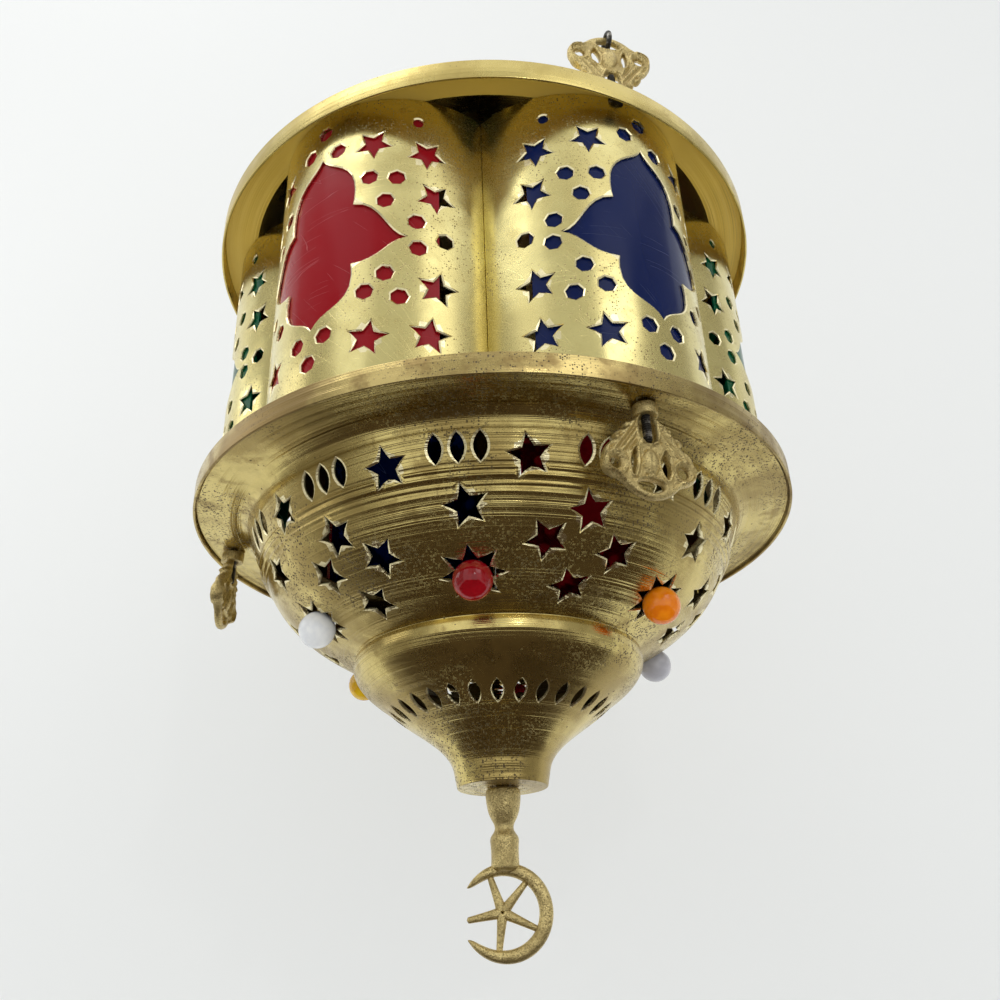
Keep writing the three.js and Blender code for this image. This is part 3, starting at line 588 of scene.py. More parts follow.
def bowl_rows():
    """Grid lines down the bowl: close together where its line bends sharply."""
    zones = [
        (bowl_run_at(BAND_TOP + 5), 2.4), (bowl_run_at(BAND_TOP), 0.8),
        (bowl_run_at(BAND_FOOT + 1.3), 1.5), (bowl_run_at(BELLY_TOP - 1), 0.3),
        (bowl_run_at(GROOVE_HEIGHT + 3), 1.7), (bowl_run_at(GROOVE_HEIGHT - 3), 0.6),
        (bowl_run_at(BOWL_FOOT + 1.5), 1.5), (FOOT_CORNER + 1, 0.25), (BOWL_RUN[-1], 2.5),
    ]
    marks, start = [0.0, 0.4], 0.8
    for end, step in zones:
        marks += np.linspace(start, end, max(2, round((end - start) / step)))[1:].tolist()
        start = end
    return np.unique(np.round(marks, 3))


def make_bowl():
    """The pierced spun bowl with its flange and its flat foot."""
    low = math.radians(BOWL_SEAM) * UNROLL
    xs = np.linspace(low, low + 2 * np.pi * UNROLL, BOWL_COLUMNS + 1)
    holes = bowl_holes(np.random.default_rng(7))
    spots, triangles = cut_grid(xs, bowl_rows(), holes, room=0.8)
    triangles = stitched(spots, triangles, xs[0], xs[-1])[:, ::-1]
    points, normals = bowl_surface(spots)
    return thick_sheet("bowl", points, normals, triangles, bowl_inner(spots), spots * MM,
                       pressed_in(spots, holes))


# Lobed body
# The pierced pattern beside the medallion, measured from its middle: stars as distance
# across, height and lean, then the small holes. It was punched by hand, so the stars and
# the small holes beside them have small shifts of their own.
STARS = [(23, 43, 36), (44, 38, 36), (47, 16, 36), (47, -27, 11), (45, -49, 6), (23, -49, 9)]
SMALL_HOLES = [(32.5, 24), (21, 25), (28, 13.5), (39.5, 2), (50, -4.7), (40, -9.5),
               (28.5, -21), (33.5, -32.5), (21, -29.3)]
MIDDLE_HOLES = [(0.7, 56.9), (7.5, 44), (-7.1, 48.5), (5.9, -44.3), (-6.7, -44.4), (-0.5, -54.3)]
ROUND_HOLE = (40, 54)
PANEL_STAR_RADIUS, SMALL_HOLE_RADIUS, ROUND_HOLE_RADIUS = 7.7, 3.4, 2.1
SMALL_HOLE_SIDES = 7


def panel_section():
    """The bent line of one panel, as [x, y] in the lobe's own frame with its normals and its
    length from the middle: an arc, a small bend and the fold that runs back to the seam."""
    seam = math.radians(180 / LOBES)
    to_plane = LOBE_OFFSET * math.sin(seam) - SEAM_GAP
    end = np.pi / 2 + seam - math.acos(to_plane / LOBE_RADIUS)
    angle = np.linspace(0, end, 60)
    arc = np.column_stack([LOBE_RADIUS * np.sin(angle), -LOBE_OFFSET - LOBE_RADIUS * np.cos(angle)])
    fold = arc[-1] + np.array([-math.sin(seam), math.cos(seam)]) * SEAM_DEPTH
    half = np.vstack([arc[:-6], rounded_run([arc[-6], arc[-1], fold], 0.5, 6)])
    run = run_along(half)
    line = np.vstack([half[:0:-1] * (-1, 1), half])
    length = np.r_[-run[:0:-1], run]
    along = np.gradient(line, length, axis=0)
    return line, length, unit(np.column_stack([along[:, 1], -along[:, 0]]))


PANEL_LINE, PANEL_LENGTH, PANEL_NORMAL = panel_section()


def turned_about(points, degrees):
    """Points turned about the Z axis."""
    a = math.radians(degrees)
    turn = np.array([[math.cos(a), math.sin(a), 0], [-math.sin(a), math.cos(a), 0], [0, 0, 1]])
    return points @ turn


def panel_surface(spots, azimuth):
    """Spots as [length from the middle line, height] put on one lobe."""
    x, y, nx, ny = (
        np.interp(spots[:, 0], PANEL_LENGTH, column)
        for column in (*PANEL_LINE.T, *PANEL_NORMAL.T)
    )
    points = np.column_stack([x, y, spots[:, 1]])
    normals = np.column_stack([nx, ny, np.zeros(len(x))])
    return turned_about(points, azimuth), turned_about(normals, azimuth)


def panel_holes(rng, shift):
    """The medallion, the stars and the small holes of one panel."""
    middle = np.array([shift, MEDALLION_HEIGHT])
    holes = [medallion_outline() + middle]
    for side in (-1, 1):
        for across, up, lean in STARS:
            lean = rng.uniform(-4, 4) - side * lean
            outline = star_outline(PANEL_STAR_RADIUS, waist=0.44, lean=lean)
            holes.append(outline + middle + (side * across, up) + rng.uniform(-0.7, 0.7, 2))
        for across, up in SMALL_HOLES:
            outline = round_outline(SMALL_HOLE_RADIUS, SMALL_HOLE_SIDES, rng.uniform(0, 60))
            holes.append(outline + middle + (side * across, up) + rng.uniform(-0.8, 0.8, 2))
        spot = middle + (side * ROUND_HOLE[0], ROUND_HOLE[1])
        holes.append(round_outline(ROUND_HOLE_RADIUS, 16) + spot)
    for across, up in MIDDLE_HOLES:
        outline = round_outline(SMALL_HOLE_RADIUS, SMALL_HOLE_SIDES, rng.uniform(0, 60))
        holes.append(outline + middle + (across, up))
    return holes


# How far each panel's pattern lies from its middle line
PANEL_SHIFTS = [3.0, 0.0, 1.0, 0.0, -1.0, -2.8]


def make_panel(k):
    """A pierced and bent panel with its folded seams. Its grid lines are close together at
    the creases."""
    reach = PANEL_LENGTH[-1]
    crease = reach - SEAM_DEPTH
    side = np.r_[np.linspace(0, crease - 1.2, 36), np.linspace(crease - 0.7, crease + 0.7, 9),
                 crease + 2, reach]
    xs = np.r_[-side[:0:-1], side]
    ys = np.linspace(PANEL_FOOT, PANEL_TOP, 44)
    holes = panel_holes(np.random.default_rng(20 + k), PANEL_SHIFTS[k])
    spots, triangles = cut_grid(xs, ys, holes, room=0.85)
    points, normals = panel_surface(spots, LOBE_AZIMUTH + 60 * k)
    return thick_sheet(f"panel_{k + 1}", points, normals, triangles, points - normals * SHEET,
                       spots * MM, pressed_in(spots, holes))


# How far each coloured sheet reaches to either side, in degrees of its arc, how far it ends
# above the panel's foot and under its top, and its thickness
SHEET_REACHES = [51.5, 51.5, 51.5, 61, 51.5, 51.5]
SHEET_ABOVE, SHEET_UNDER, COLOUR_SHEET = 9.1, 7.1, 0.9


def make_colour_sheet(k):
    """A curved sheet just inside the panel."""
    radius = LOBE_RADIUS - SHEET - GAP
    half = math.radians(SHEET_REACHES[k])
    xs = np.linspace(-half, half, 49)
    ys = np.linspace(PANEL_FOOT + SHEET_ABOVE, PANEL_TOP - SHEET_UNDER, 12)
    angle, height = (a.ravel() for a in np.meshgrid(xs, ys))
    sine, cosine = np.sin(angle), np.cos(angle)
    points = np.column_stack([radius * sine, -LOBE_OFFSET - radius * cosine, height])
    normals = np.column_stack([sine, -cosine, 0 * angle])
    quads = grid_faces(len(ys), len(xs))
    triangles = np.vstack([quads[:, [0, 1, 2]], quads[:, [0, 2, 3]]])
    uv = np.column_stack([angle * radius, height]) * MM
    outer, normals, inner = (
        turned_about(part, LOBE_AZIMUTH + 60 * k)
        for part in (points, normals, points - normals * COLOUR_SHEET)
    )
    return thick_sheet(f"coloured_sheet_{k + 1}", outer, normals, triangles, inner, uv)


# Rim and cap
def make_rim():
    """The ring with its lip and the shelf that the panels stand on."""
    inside = RIM_RADIUS - SHEET
    corners = [
        (inside, 0), (RIM_RADIUS, 0), (RIM_RADIUS, RIM_LIP), (inside, RIM_LIP),
        (inside, SHELF_TOP), (SHELF_BORE, SHELF_TOP), (SHELF_BORE, SHELF_FOOT),
        (inside, SHELF_FOOT),
    ]
    return turned("rim", rounded_loop(corners, 0.35, 3), LARGE_ROUND)


# Points round the rim and the cap
LARGE_ROUND = 240
NIPPLE_HOLE = 5.2


def make_cap():
    """The spun cap, as a line from its hole down the crown, round the lip and back inside."""
    inside = CAP_RADIUS - SHEET
    crown = cubic((CROWN_TOP_RADIUS, CROWN_TOP), (50, CROWN_TOP), (85, CAP_TOP + 19),
                  (CROWN_SHOULDER_RADIUS, CAP_TOP + CROWN_SHOULDER_RISE), 24)
    shoulder = cubic(crown[-1], (108, CAP_TOP + 6.5), (CROWN_RADIUS, CAP_TOP + 4),
                     (CROWN_RADIUS, CAP_TOP), 8)
    outside = np.vstack([[NIPPLE_HOLE, CROWN_TOP], crown, shoulder[1:]])
    lip = rounded_run(
        [outside[-1], (CAP_RADIUS, CAP_TOP), (CAP_RADIUS, CAP_TOP - CAP_LIP),
         (inside, CAP_TOP - CAP_LIP), (inside, CAP_SEAT), (CROWN_RADIUS - SHEET, CAP_SEAT)],
        0.5, 3,
    )
    under = outside[:-1][::-1] - profile_normals(outside)[:-1][::-1] * SHEET
    under[:, 0] = np.maximum(under[:, 0], NIPPLE_HOLE)
    cap = turned("cap", np.vstack([outside, lip[1:], under]), LARGE_ROUND)
    mark_inner_ring(cap)
    return cap


def mark_inner_ring(cap):
    """Sets side to 2 on the faces of the flat ring under the cap, which look down just
    inside the lip, so that they take the cap's painted gleam."""
    faces = cap.data.polygons
    facing, middle = np.zeros((len(faces), 3)), np.zeros((len(faces), 3))
    faces.foreach_get("normal", facing.ravel())
    faces.foreach_get("center", middle.ravel())
    ring = (facing[:, 2] < -0.9) & (np.abs(middle[:, 2] / MM + ORIGIN_HEIGHT - CAP_SEAT) < 0.2)
    add_layer(cap.data, "side", "FACE", ring * 2)


# Beads
def bowl_place(azimuth, height, stand):
    """The point a distance out from the bowl's face, and the face's normal there."""
    spot = np.array([[math.radians(azimuth) * UNROLL, bowl_run_at(height)]])
    point, normal = bowl_surface(spot)
    return point[0] + normal[0] * stand, normal[0]


def make_bead(k):
    """A ball: circles of points carried from pole to pole, square to the bowl's face."""
    centre, out = bowl_place(BOWL_TURN + 60 * k, BEAD_HEIGHT, BEAD_STAND)
    turn = np.array(Vector(out).to_track_quat("Z", "Y").to_matrix())
    down, about = np.meshgrid(np.linspace(0, np.pi, 25), angles_round(48), indexing="ij")
    local = np.stack([np.sin(down) * np.cos(about), np.sin(down) * np.sin(about), np.cos(down)],
                     axis=2).reshape(-1, 3)
    points = (local * BEAD_RADIUS) @ turn.T + centre
    piece = mesh_from(f"bead_{k + 1}", points, grid_faces(25, 48, close_columns=True))
    tidy(piece, angle=60)
    return piece


# Castings
# The right half of the casting's edge, as distance across and distance down from its seat
CAST_EDGE = [
    (2.7, 2.4), (4.3, 4.8), (6.0, 6.4), (8.0, 7.6), (9.9, 8.9), (9.9, 10.6), (12.2, 11.8),
    (13.9, 13.4), (13.8, 15.2), (15.7, 16.8), (17.7, 19.0), (19.0, 21.8), (19.2, 24.8),
    (18.4, 27.3), (16.4, 29.0), (14.0, 29.8), (12.0, 30.8), (10.1, 32.5), (7.7, 34.3),
    (4.2, 35.9),
]
# Its openings: the arch at the foot, the window of the screw, and the slits, as place, half
# width and lean
CAST_ARCH = [(-5.2, 31.3), (-3.8, 29.9), (0, 29.4), (3.8, 29.9), (5.2, 31.3), (3.6, 33.0),
             (0, 33.8), (-3.6, 33.0)]
CAST_WINDOW = [(1.8, 4.7), (3.2, 6.4), (3.4, 9.6), (3.2, 12.6), (1.7, 14.4), (-1.7, 14.4),
               (-3.2, 12.6), (-3.4, 9.6), (-3.2, 6.4), (-1.8, 4.7)]
CAST_SLITS, SLIT_HALF, SLIT_DOWN = ((-6.6, 0.9, 6), (6.5, 1.7, -4)), 4.7, 23.2
CAST_EYE, CAST_EYE_HOLE, CAST_LEAF_DOWN, CAST_HALF = (13.9, 24.6), 1.9, 23.0, 1.8
CAST_BOSS = [(2.3, 0), (4.7, 0), (4.7, -4.6), (2.3, -4.6)]
# Shares of the drawn width and of a pendant's drawn length
CAST_NARROW, PENDANT_SHORT = 0.93, 0.93
CAST_AZIMUTH = 27.0
LUG_RADIUS, PENDANT_RADIUS = 119.0, 114.4
LUG_SEAT, PENDANT_SEAT = 144.1, 0.168
# How each lug and pendant is turned, and how each pendant leans and tips, in degrees
LUG_TURNS, PENDANT_TURNS = (-14, 0, 0), (-3, 0, 9)
PENDANT_LEANS, PENDANT_TIPS = (-1, 2, 1), (5.0, 5.0, -5.0)


def smooth_loop(points, steps):
    """A closed line that bends smoothly through points: between two of them it follows the
    cubic whose slopes there are half the step from the point before to the point after."""
    p = np.asarray(points, float)
    t = (np.arange(steps) / steps)[None, :, None]
    before, at, after, beyond = (np.roll(p, k, axis=0)[:, None] for k in (1, 0, -1, -2))
    line = at + (after - before) * t / 2
    line = line + (2 * before - 5 * at + 4 * after - beyond) * t**2 / 2
    line = line + (3 * at - before - 3 * after + beyond) * t**3 / 2
    return line.reshape(-1, 2)


def step_up(value, low, high):
    """0 below low, 1 above high, and a smooth rise between."""
    t = np.clip((value - low) / (high - low), 0, 1)
    return t * t * (3 - 2 * t)


# The casting's relief: radius of its rounded edges, how far the field is sunk, half width,
# half height and rise of the leaf, and the distance from one scroll ridge to the next
CAST_ROUND, FIELD_SUNK = 1.4, 0.65
LEAF_WIDE, LEAF_HIGH, LEAF_RISE, SCROLL_STEP = 3.4, 5.3, 1.8, 2.7


def cast_relief(spots, edge):
    """Half the casting's thickness at each spot. It rises from each edge along a quarter
    circle to a border ridge and sinks into a field. On the field stand a leaf, half an
    ellipsoid with a grooved middle, scroll ridges on the shoulders, as a wave across them,
    and a ring round each eye."""
    across, down = np.abs(spots[:, 0]), spots[:, 1]
    arch = step_up(down, 30.2, 31.5)
    full = CAST_HALF - 0.3 * arch
    share = 1 - np.clip(edge / CAST_ROUND, 0, 1)
    field = full - FIELD_SUNK * step_up(edge, 1.1, 1.8) * (1 - arch)
    oval = (across / LEAF_WIDE) ** 2 + ((down - CAST_LEAF_DOWN) / LEAF_HIGH) ** 2
    groove = 0.25 * np.exp(-((across / 0.4) ** 2)) * step_up(1 - oval, 0, 0.3)
    leaf = LEAF_RISE * np.sqrt(np.clip(1 - oval, 0, 1)) - groove
    shoulder = step_up(down, 6.5, 8.5) * step_up(-down, -21, -18.5) * step_up(across, 4.2, 5.6)
    wave = np.cos(2 * np.pi * (0.8 * across - 0.6 * down) / SCROLL_STEP)
    eye = np.hypot(across - CAST_EYE[0], down - CAST_EYE[1])
    ring = 0.95 * np.exp(-(((eye - 4.2) / 0.65) ** 2)) - 0.6 * step_up(-eye, -3.6, -2.8)
    brow = 0.7 * np.exp(-(((oval**0.5 - 1.75) * 4) ** 2)) * step_up(-down, -24, -21)
    height = field + leaf + shoulder * (0.25 + 0.5 * wave) + ring + brow * (across > 2)
    return height * np.sqrt(np.clip(1 - share**2, 0, 1))


def cast_arrays():
    """Points, faces and hollow shade of the casting that both lugs and pendants are: a plate
    whose front and back follow the relief and meet at its edges, and a bored boss."""
    right = np.array(CAST_EDGE)
    left = right[::-1] * (-1, 1)
    outline = smooth_loop(np.vstack([right, [(0, 36.6)], left, [(0, 2.2)]]), 5)
    window = smooth_loop(CAST_WINDOW, 3)
    slits = [almond_outline(wide, SLIT_HALF, lean) + (at, SLIT_DOWN)
             for at, wide, lean in CAST_SLITS]
    eyes = [round_outline(CAST_EYE_HOLE, 26) + (side * CAST_EYE[0], CAST_EYE[1])
            for side in (-1, 1)]
    holes = [window, *slits, *eyes, smooth_loop(CAST_ARCH, 5)]
    spots, triangles = cut_plate(outline, holes, step=0.42, room=0.22)
    edge = np.min([outline_distance(spots, ring) for ring in (outline, *holes)], axis=0)
    half = cast_relief(spots, edge)
    half[edge < 1e-4] = 0
    face = np.column_stack([spots[:, 0], -half, -spots[:, 1]])
    points = np.vstack([face, face * (1, -1, 1)])
    faces = np.vstack([triangles, triangles[:, ::-1] + len(face)]).tolist()
    hollow = np.clip((CAST_HALF - half) / 1.3, 0, 1) * step_up(edge, 0.2, 1.2)
    boss_points, boss_faces, _ = lathe(rounded_loop(CAST_BOSS, 0.5, 3), 40)
    faces += (boss_faces + len(points)).tolist()
    hollow = np.r_[hollow, hollow, np.zeros(len(boss_points))]
    return np.vstack([points, boss_points]) * (CAST_NARROW, 1, 1), faces, hollow


def hung(points, lean, tip):
    """The casting as a pendant: a little shorter, leaning sideways and, by tip, inwards at
    its foot."""
    x, y, z = (points * (1, 1, PENDANT_SHORT)).T
    a, slope = math.radians(lean), math.tan(math.radians(tip))
    return np.column_stack(
        [x * math.cos(a) + z * math.sin(a), y - z * slope, z * math.cos(a) - x * math.sin(a)]
    )


def seated(points, radius, seat, turn, azimuth):
    """Points turned about their own upright axis, moved out from the lantern's axis to
    their seat and turned about that axis."""
    return turned_about(turned_about(points, turn) + (0, -radius, seat), azimuth)


def make_casting(name, points, faces, hollow):
    """A lug or pendant with the shade of its hollows."""
    piece = mesh_from(name, points, faces)
    add_layer(piece.data, "hollow", "POINT", hollow)
    tidy(piece, angle=50)
    return piece


# Radii of a screw's shank and head, height of its head, and its thread
SHANK, HEAD, HEAD_HIGH, PITCH, THREAD_DEEP = 1.65, 3.5, 2.0, 0.85, 0.36


def make_screw(name, tip, seat, azimuth, radius):
    """A threaded shank from its tip to the seat of a round head."""
    side = math.copysign(1, seat - tip)
    length = abs(seat - tip)
    heights = np.arange(0, length, PITCH / 6)
    depth = THREAD_DEEP * step_up(length - heights, 0.2, 0.8)
    lead = 0.4 * step_up(1 - heights, 0, 1)
    shank = np.column_stack([SHANK - lead, tip + side * heights])
    top = seat + side * HEAD_HIGH
    head = rounded_run([(SHANK, seat), (HEAD, seat), (HEAD, top), (0, top)], 0.6, 4)
    profile = np.vstack([[(0, tip)], shank, head])
    thread = np.r_[0, depth, np.zeros(len(head))]
    angle = math.radians(azimuth)
    spot = (radius * math.sin(angle), -radius * math.cos(angle))
    return turned(name, profile, 28, thread, PITCH, spot)


# A ring's radius, its wire's radius, and its height above the lug's seat
RING_RADIUS, WIRE_RADIUS, RING_HEIGHT = 3.7, 1.08, 34.6


def make_ring(name, turn, azimuth):
    """A wire ring: a circle of points carried round the ring's centre line."""
    about, wire = np.meshgrid(angles_round(56), angles_round(16), indexing="ij")
    reach = RING_RADIUS + WIRE_RADIUS * np.cos(wire)
    points = np.stack([WIRE_RADIUS * np.sin(wire), reach * np.cos(about), reach * np.sin(about)],
                      axis=2).reshape(-1, 3)
    points = seated(points + (0, 0, RING_HEIGHT), LUG_RADIUS, LUG_SEAT, turn, azimuth)
    piece = mesh_from(name, points, grid_faces(56, 16, close_rows=True, close_columns=True))
    tidy(piece, angle=80)
    return piece


# Finial
FINIAL_TOP, CRESCENT_DROP, CRESCENT_RADIUS, STAR_SHIFT = -105.0, 43.3, 16.8, -1.6
# Degrees from the crescent's middle to its tips, its full width and its depth
CRESCENT_REACH, CRESCENT_WIDE, CRESCENT_DEEP = 149, 5.1, 2.5
# An arm's half width and half depth at its root, and how much of them it loses
ARM_WIDE, ARM_NARROWS, ARM_DEEP, ARM_THINS = 2.3, 1.25, 1.75, 0.65
# The star's arms, as turn in degrees and reach
STAR_ARMS = [(109, 14.4), (48, 14.2), (-25, 14.2), (-97, 13.9), (190, 13.2)]
# The baluster, as radius and height from its seat on the bowl's foot
BALUSTER = [
    (0, 8.3), (2.3, 8.3), (2.5, 8.0), (2.5, 0), (5.9, 0), (6.5, -0.5), (6.7, -2), (6.55, -4.5),
    (6.2, -6.6), (5.8, -8.6), (4.9, -10.8), (3.8, -12.7), (3.5, -14), (3.7, -15.2), (4.5, -16.4),
    (5.2, -17.4), (5.45, -18.6), (5.3, -20), (5.1, -22.5), (5.15, -26), (5.3, -28.4), (4, -29.6),
    (0, -29.8),
]


def swept_bar(path, normal, half_width, half_depth, steps=18):
    """A bar in the plane of X and Z along a path: at each step an oval, flattened by raising
    its cosine and sine to the power 0.8, lies across the path's normal and along Y."""
    angle = angles_round(steps)
    wide = np.sign(np.cos(angle)) * np.abs(np.cos(angle)) ** 0.8
    deep = np.sign(np.sin(angle)) * np.abs(np.sin(angle)) ** 0.8
    offset = np.outer(half_width, wide)
    x = path[:, :1] + normal[:, :1] * offset
    z = path[:, 1:] + normal[:, 1:] * offset
    points = np.stack([x, np.outer(half_depth, deep), z], axis=2).reshape(-1, 3)
    return points, grid_faces(len(path), steps, close_columns=True)


def crescent_bar():
    """The crescent: its outer edge is a circle, and its width keeps nearly to 5 and closes
    to a rounded tip at each end, as the root of one minus the share of the way to the tip
    raised to the power 3.2."""
    t = np.sin(np.linspace(-np.pi / 2, np.pi / 2, 90))
    angle = t * math.radians(CRESCENT_REACH)
    width = CRESCENT_WIDE * np.sqrt(np.clip(1 - np.abs(t) ** 3.2, 0, 1))
    out = np.column_stack([np.cos(angle), np.sin(angle)])
    path = out * (CRESCENT_RADIUS - width / 2)[:, None]
    depth = CRESCENT_DEEP * np.minimum(1, width / 3.2) ** 0.8
    return swept_bar(path, out, width / 2, depth)


def star_arm(turn, reach):
    """One arm of the star, from its middle out: it narrows in a straight line, and its ends
    close along a quarter circle."""
    t = np.linspace(0, 1, 26)
    inwards = np.clip(np.minimum(t, 1 - t) / 0.06, 0, 1)
    end = np.sqrt(1 - (1 - inwards) ** 2)
    a = math.radians(turn)
    out = np.array([math.cos(a), math.sin(a)])
    path = (STAR_SHIFT, 0) + np.outer(t * reach, out)
    normal = np.tile((-out[1], out[0]), (len(t), 1))
    width = (ARM_WIDE - ARM_NARROWS * t**0.6) * end
    return swept_bar(path, normal, width, (ARM_DEEP - ARM_THINS * t) * end)


def make_finial():
    """The cast baluster, crescent and star in one piece."""
    line = np.vstack([BALUSTER[:5], rounded_run(BALUSTER[4:], 1.2, 3)[1:]])
    points, faces, _ = lathe(line, 48)
    points, faces = [points], faces.tolist()
    for bar_points, bar_faces in [crescent_bar(), *(star_arm(*arm) for arm in STAR_ARMS)]:
        faces += (bar_faces + sum(map(len, points))).tolist()
        points.append(bar_points - (0, 0, CRESCENT_DROP))
    piece = mesh_from("finial_cast", np.vstack(points) + (0, 0, FINIAL_TOP), faces)
    tidy(piece, angle=50)
    return piece


# Lamp holder
# Closed lines of the holder, its sleeve and the cord's bush, as radius and height
HOLDER_LOOP = [
    (13.6, 118.2), (20, 118.2), (20, 150.2), (11, 159.2), (11, 168.2), (5.3, 168.2), (5.3, 158.9),
    (13.6, 149.9), (13.6, 148.5), (14.9, 148.5), (14.9, 120.9), (13.6, 120.9),
]
SLEEVE_LOOP = [(13.6, 121.2), (14.6, 121.2), (14.6, 148.2), (13.6, 148.2)]
BUSH_LOOP = [(2.2, 176.1), (3.2, 176.1), (3.2, 181.1), (5, 181.1), (5, 182.6), (2.2, 182.6)]


NIPPLE_FOOT, NIPPLE_TOP, NIPPLE_RADIUS, NIPPLE_BORE, NIPPLE_PITCH = 159.2, 180.8, 5.0, 3.5, 0.75


def make_nipple():
    """The hollow threaded rod that the lamp holder hangs from."""
    heights = np.arange(NIPPLE_FOOT, NIPPLE_TOP, 0.125)
    depth = 0.35 * step_up(np.minimum(heights - NIPPLE_FOOT, NIPPLE_TOP - heights), 0, 0.5)
    outside = np.column_stack([np.full(len(heights), NIPPLE_RADIUS), heights])
    profile = np.vstack([(NIPPLE_BORE, NIPPLE_FOOT), outside, (NIPPLE_BORE, NIPPLE_TOP)])
    return turned("nipple", profile, 40, np.r_[0, depth, 0], NIPPLE_PITCH)


# Finishes
class Wire:
    """The output of a node, to reckon with as with a number: each step adds a math node."""

    def __init__(self, board, socket):
        self.board, self.socket = board, socket

    def __add__(self, other):
        return self.board.math("ADD", self, other)

    def __sub__(self, other):
        return self.board.math("SUBTRACT", self, other)

    def __rsub__(self, other):
        return self.board.math("SUBTRACT", other, self)

    def __mul__(self, other):
        return self.board.math("MULTIPLY", self, other)


class Board:
    """Puts nodes into one shader tree. A value given for a socket is a number, a vector, a
    colour as three numbers, or a wire from another node."""

    def __init__(self, tree):
        self.tree = tree

    def put(self, socket, value):
        """Gives a socket its value."""
        if isinstance(value, Wire):
            self.tree.links.new(value.socket, socket)
        elif socket.type == "RGBA":
            socket.default_value = (*value, 1)
        else:
            socket.default_value = value

    def node(self, kind, sockets=None, **settings):
        """A new node with its settings and the values of its sockets, by name or number."""
        node = self.tree.nodes.new("ShaderNode" + kind)
        for name, value in settings.items():
            setattr(node, name, value)
        for name, value in (sockets or {}).items():
            self.put(node.inputs[name], value)
        return node

    def outputs(self, kind, sockets=None, **settings):
        """The outputs of a new node as wires, by name."""
        node = self.node(kind, sockets, **settings)
        return {output.name: Wire(self, output) for output in node.outputs}

    def wire(self, kind, output, sockets=None, **settings):
        """The wire from one output of a new node."""
        return Wire(self, self.node(kind, sockets, **settings).outputs[output])

    def group(self, tree, sockets):
        """The outputs of a shared effect."""
        return self.outputs("Group", sockets, node_tree=tree)

    def math(self, operation, *values):
        return self.wire("Math", 0, dict(enumerate(values)), operation=operation)

    def most(self, first, second):
        """The larger of two values."""
        return self.math("MAXIMUM", first, second)

    def mix(self, share, first, second):
        """A blend of two colours."""
        return self.wire("Mix", 2, {0: share, 6: first, 7: second}, data_type="RGBA")

    def range(self, value, low, high, to_low=0.0, to_high=1.0, kind="SMOOTHSTEP"):
        """A value carried from one range to another, and held at its ends."""
        sockets = {"Value": value, "From Min": low, "From Max": high,
                   "To Min": to_low, "To Max": to_high}
        return self.wire("MapRange", "Result", sockets, interpolation_type=kind)

    def noise(self, vector, scale, detail=2.0, rough=0.5, stretch=None):
        """Clouded noise, stretched where one of the three scales is small."""
        if stretch:
            vector = self.wire("Mapping", 0, {"Vector": vector, "Scale": stretch})
        sockets = {"Vector": vector, "Scale": scale, "Detail": detail, "Roughness": rough}
        return self.wire("TexNoise", "Fac", sockets)

    def line_noise(self, along, scale, detail=1.0):
        """Noise that changes with one distance alone."""
        sockets = {"W": along, "Scale": scale, "Detail": detail, "Roughness": 0.6}
        return self.wire("TexNoise", "Fac", sockets, noise_dimensions="1D")


def make_group(name, takes, gives):
    """A shader group with named inputs, as (name, kind, value), and named outputs."""
    tree = bpy.data.node_groups.new(name, "ShaderNodeTree")
    for label, kind, value in takes:
        socket = tree.interface.new_socket(label, in_out="INPUT", socket_type="NodeSocket" + kind)
        if value is not None:
            socket.default_value = value
    for label, kind in gives:
        tree.interface.new_socket(label, in_out="OUTPUT", socket_type="NodeSocket" + kind)
    board = Board(tree)
    start = tree.nodes.new("NodeGroupInput").outputs
    start = {output.name: Wire(board, output) for output in start}
    return tree, board, start, tree.nodes.new("NodeGroupOutput")


def close_group(board, end, **values):
    """Wires values to a group's outputs."""
    for label, value in values.items():
        board.put(end.inputs[label], value)


def speckle_group():
    """Small round spots: the distance to scattered points, cut at a radius that each point
    draws at random, and thinned out by large clouds."""
    tree, b, start, end = make_group(
        "speckle",
        [("Vector", "Vector", None), ("Scale", "Float", 900.0), ("Share", "Float", 0.3),
         ("Cluster", "Float", 25.0)],
        [("Mask", "Float")],
    )
    cells = b.outputs("TexVoronoi", {"Vector": start["Vector"], "Scale": start["Scale"]})
    draw = b.wire("SeparateColor", 0, {"Color": cells["Color"]})
    radius = (draw - (1.0 - start["Share"])) * 0.9
    spot = b.range(radius - cells["Distance"], 0.0, 0.12)
    cloud = b.range(b.noise(start["Vector"], start["Cluster"]), 0.42, 0.6)
    close_group(b, end, Mask=spot * cloud)
    return tree


def scratch_group():
    """Fine scratches: stretched noise in three directions, kept only where it crosses its
    middle value, and broken up by clouds."""
    tree, b, start, end = make_group(
        "scratches",
        [("Vector", "Vector", None), ("Scale", "Float", 1.0), ("Amount", "Float", 0.5)],
        [("Mask", "Float")],
    )
    scaled = {0: start["Vector"], "Scale": start["Scale"]}
    vector = b.wire("VectorMath", 0, scaled, operation="SCALE")
    total = 0.0
    for turn, seed in ((0.5, 0.0), (1.7, 3.1), (2.6, 7.7)):
        moved = {"Vector": vector, "Rotation": (turn, turn, turn), "Location": (seed, seed, seed)}
        place = b.wire("Mapping", 0, moved)
        line = b.noise(place, 260.0, 0.5, stretch=(1, 0.05, 0.05))
        line = b.range(b.math("ABSOLUTE", line - 0.5), 0.004, 0.0)
        keep = b.range(b.noise(place, 55.0, 1.0), 0.56, 0.62)
        total = b.most(total, line * keep)
    close_group(b, end, Mask=total * start["Amount"])
    return tree


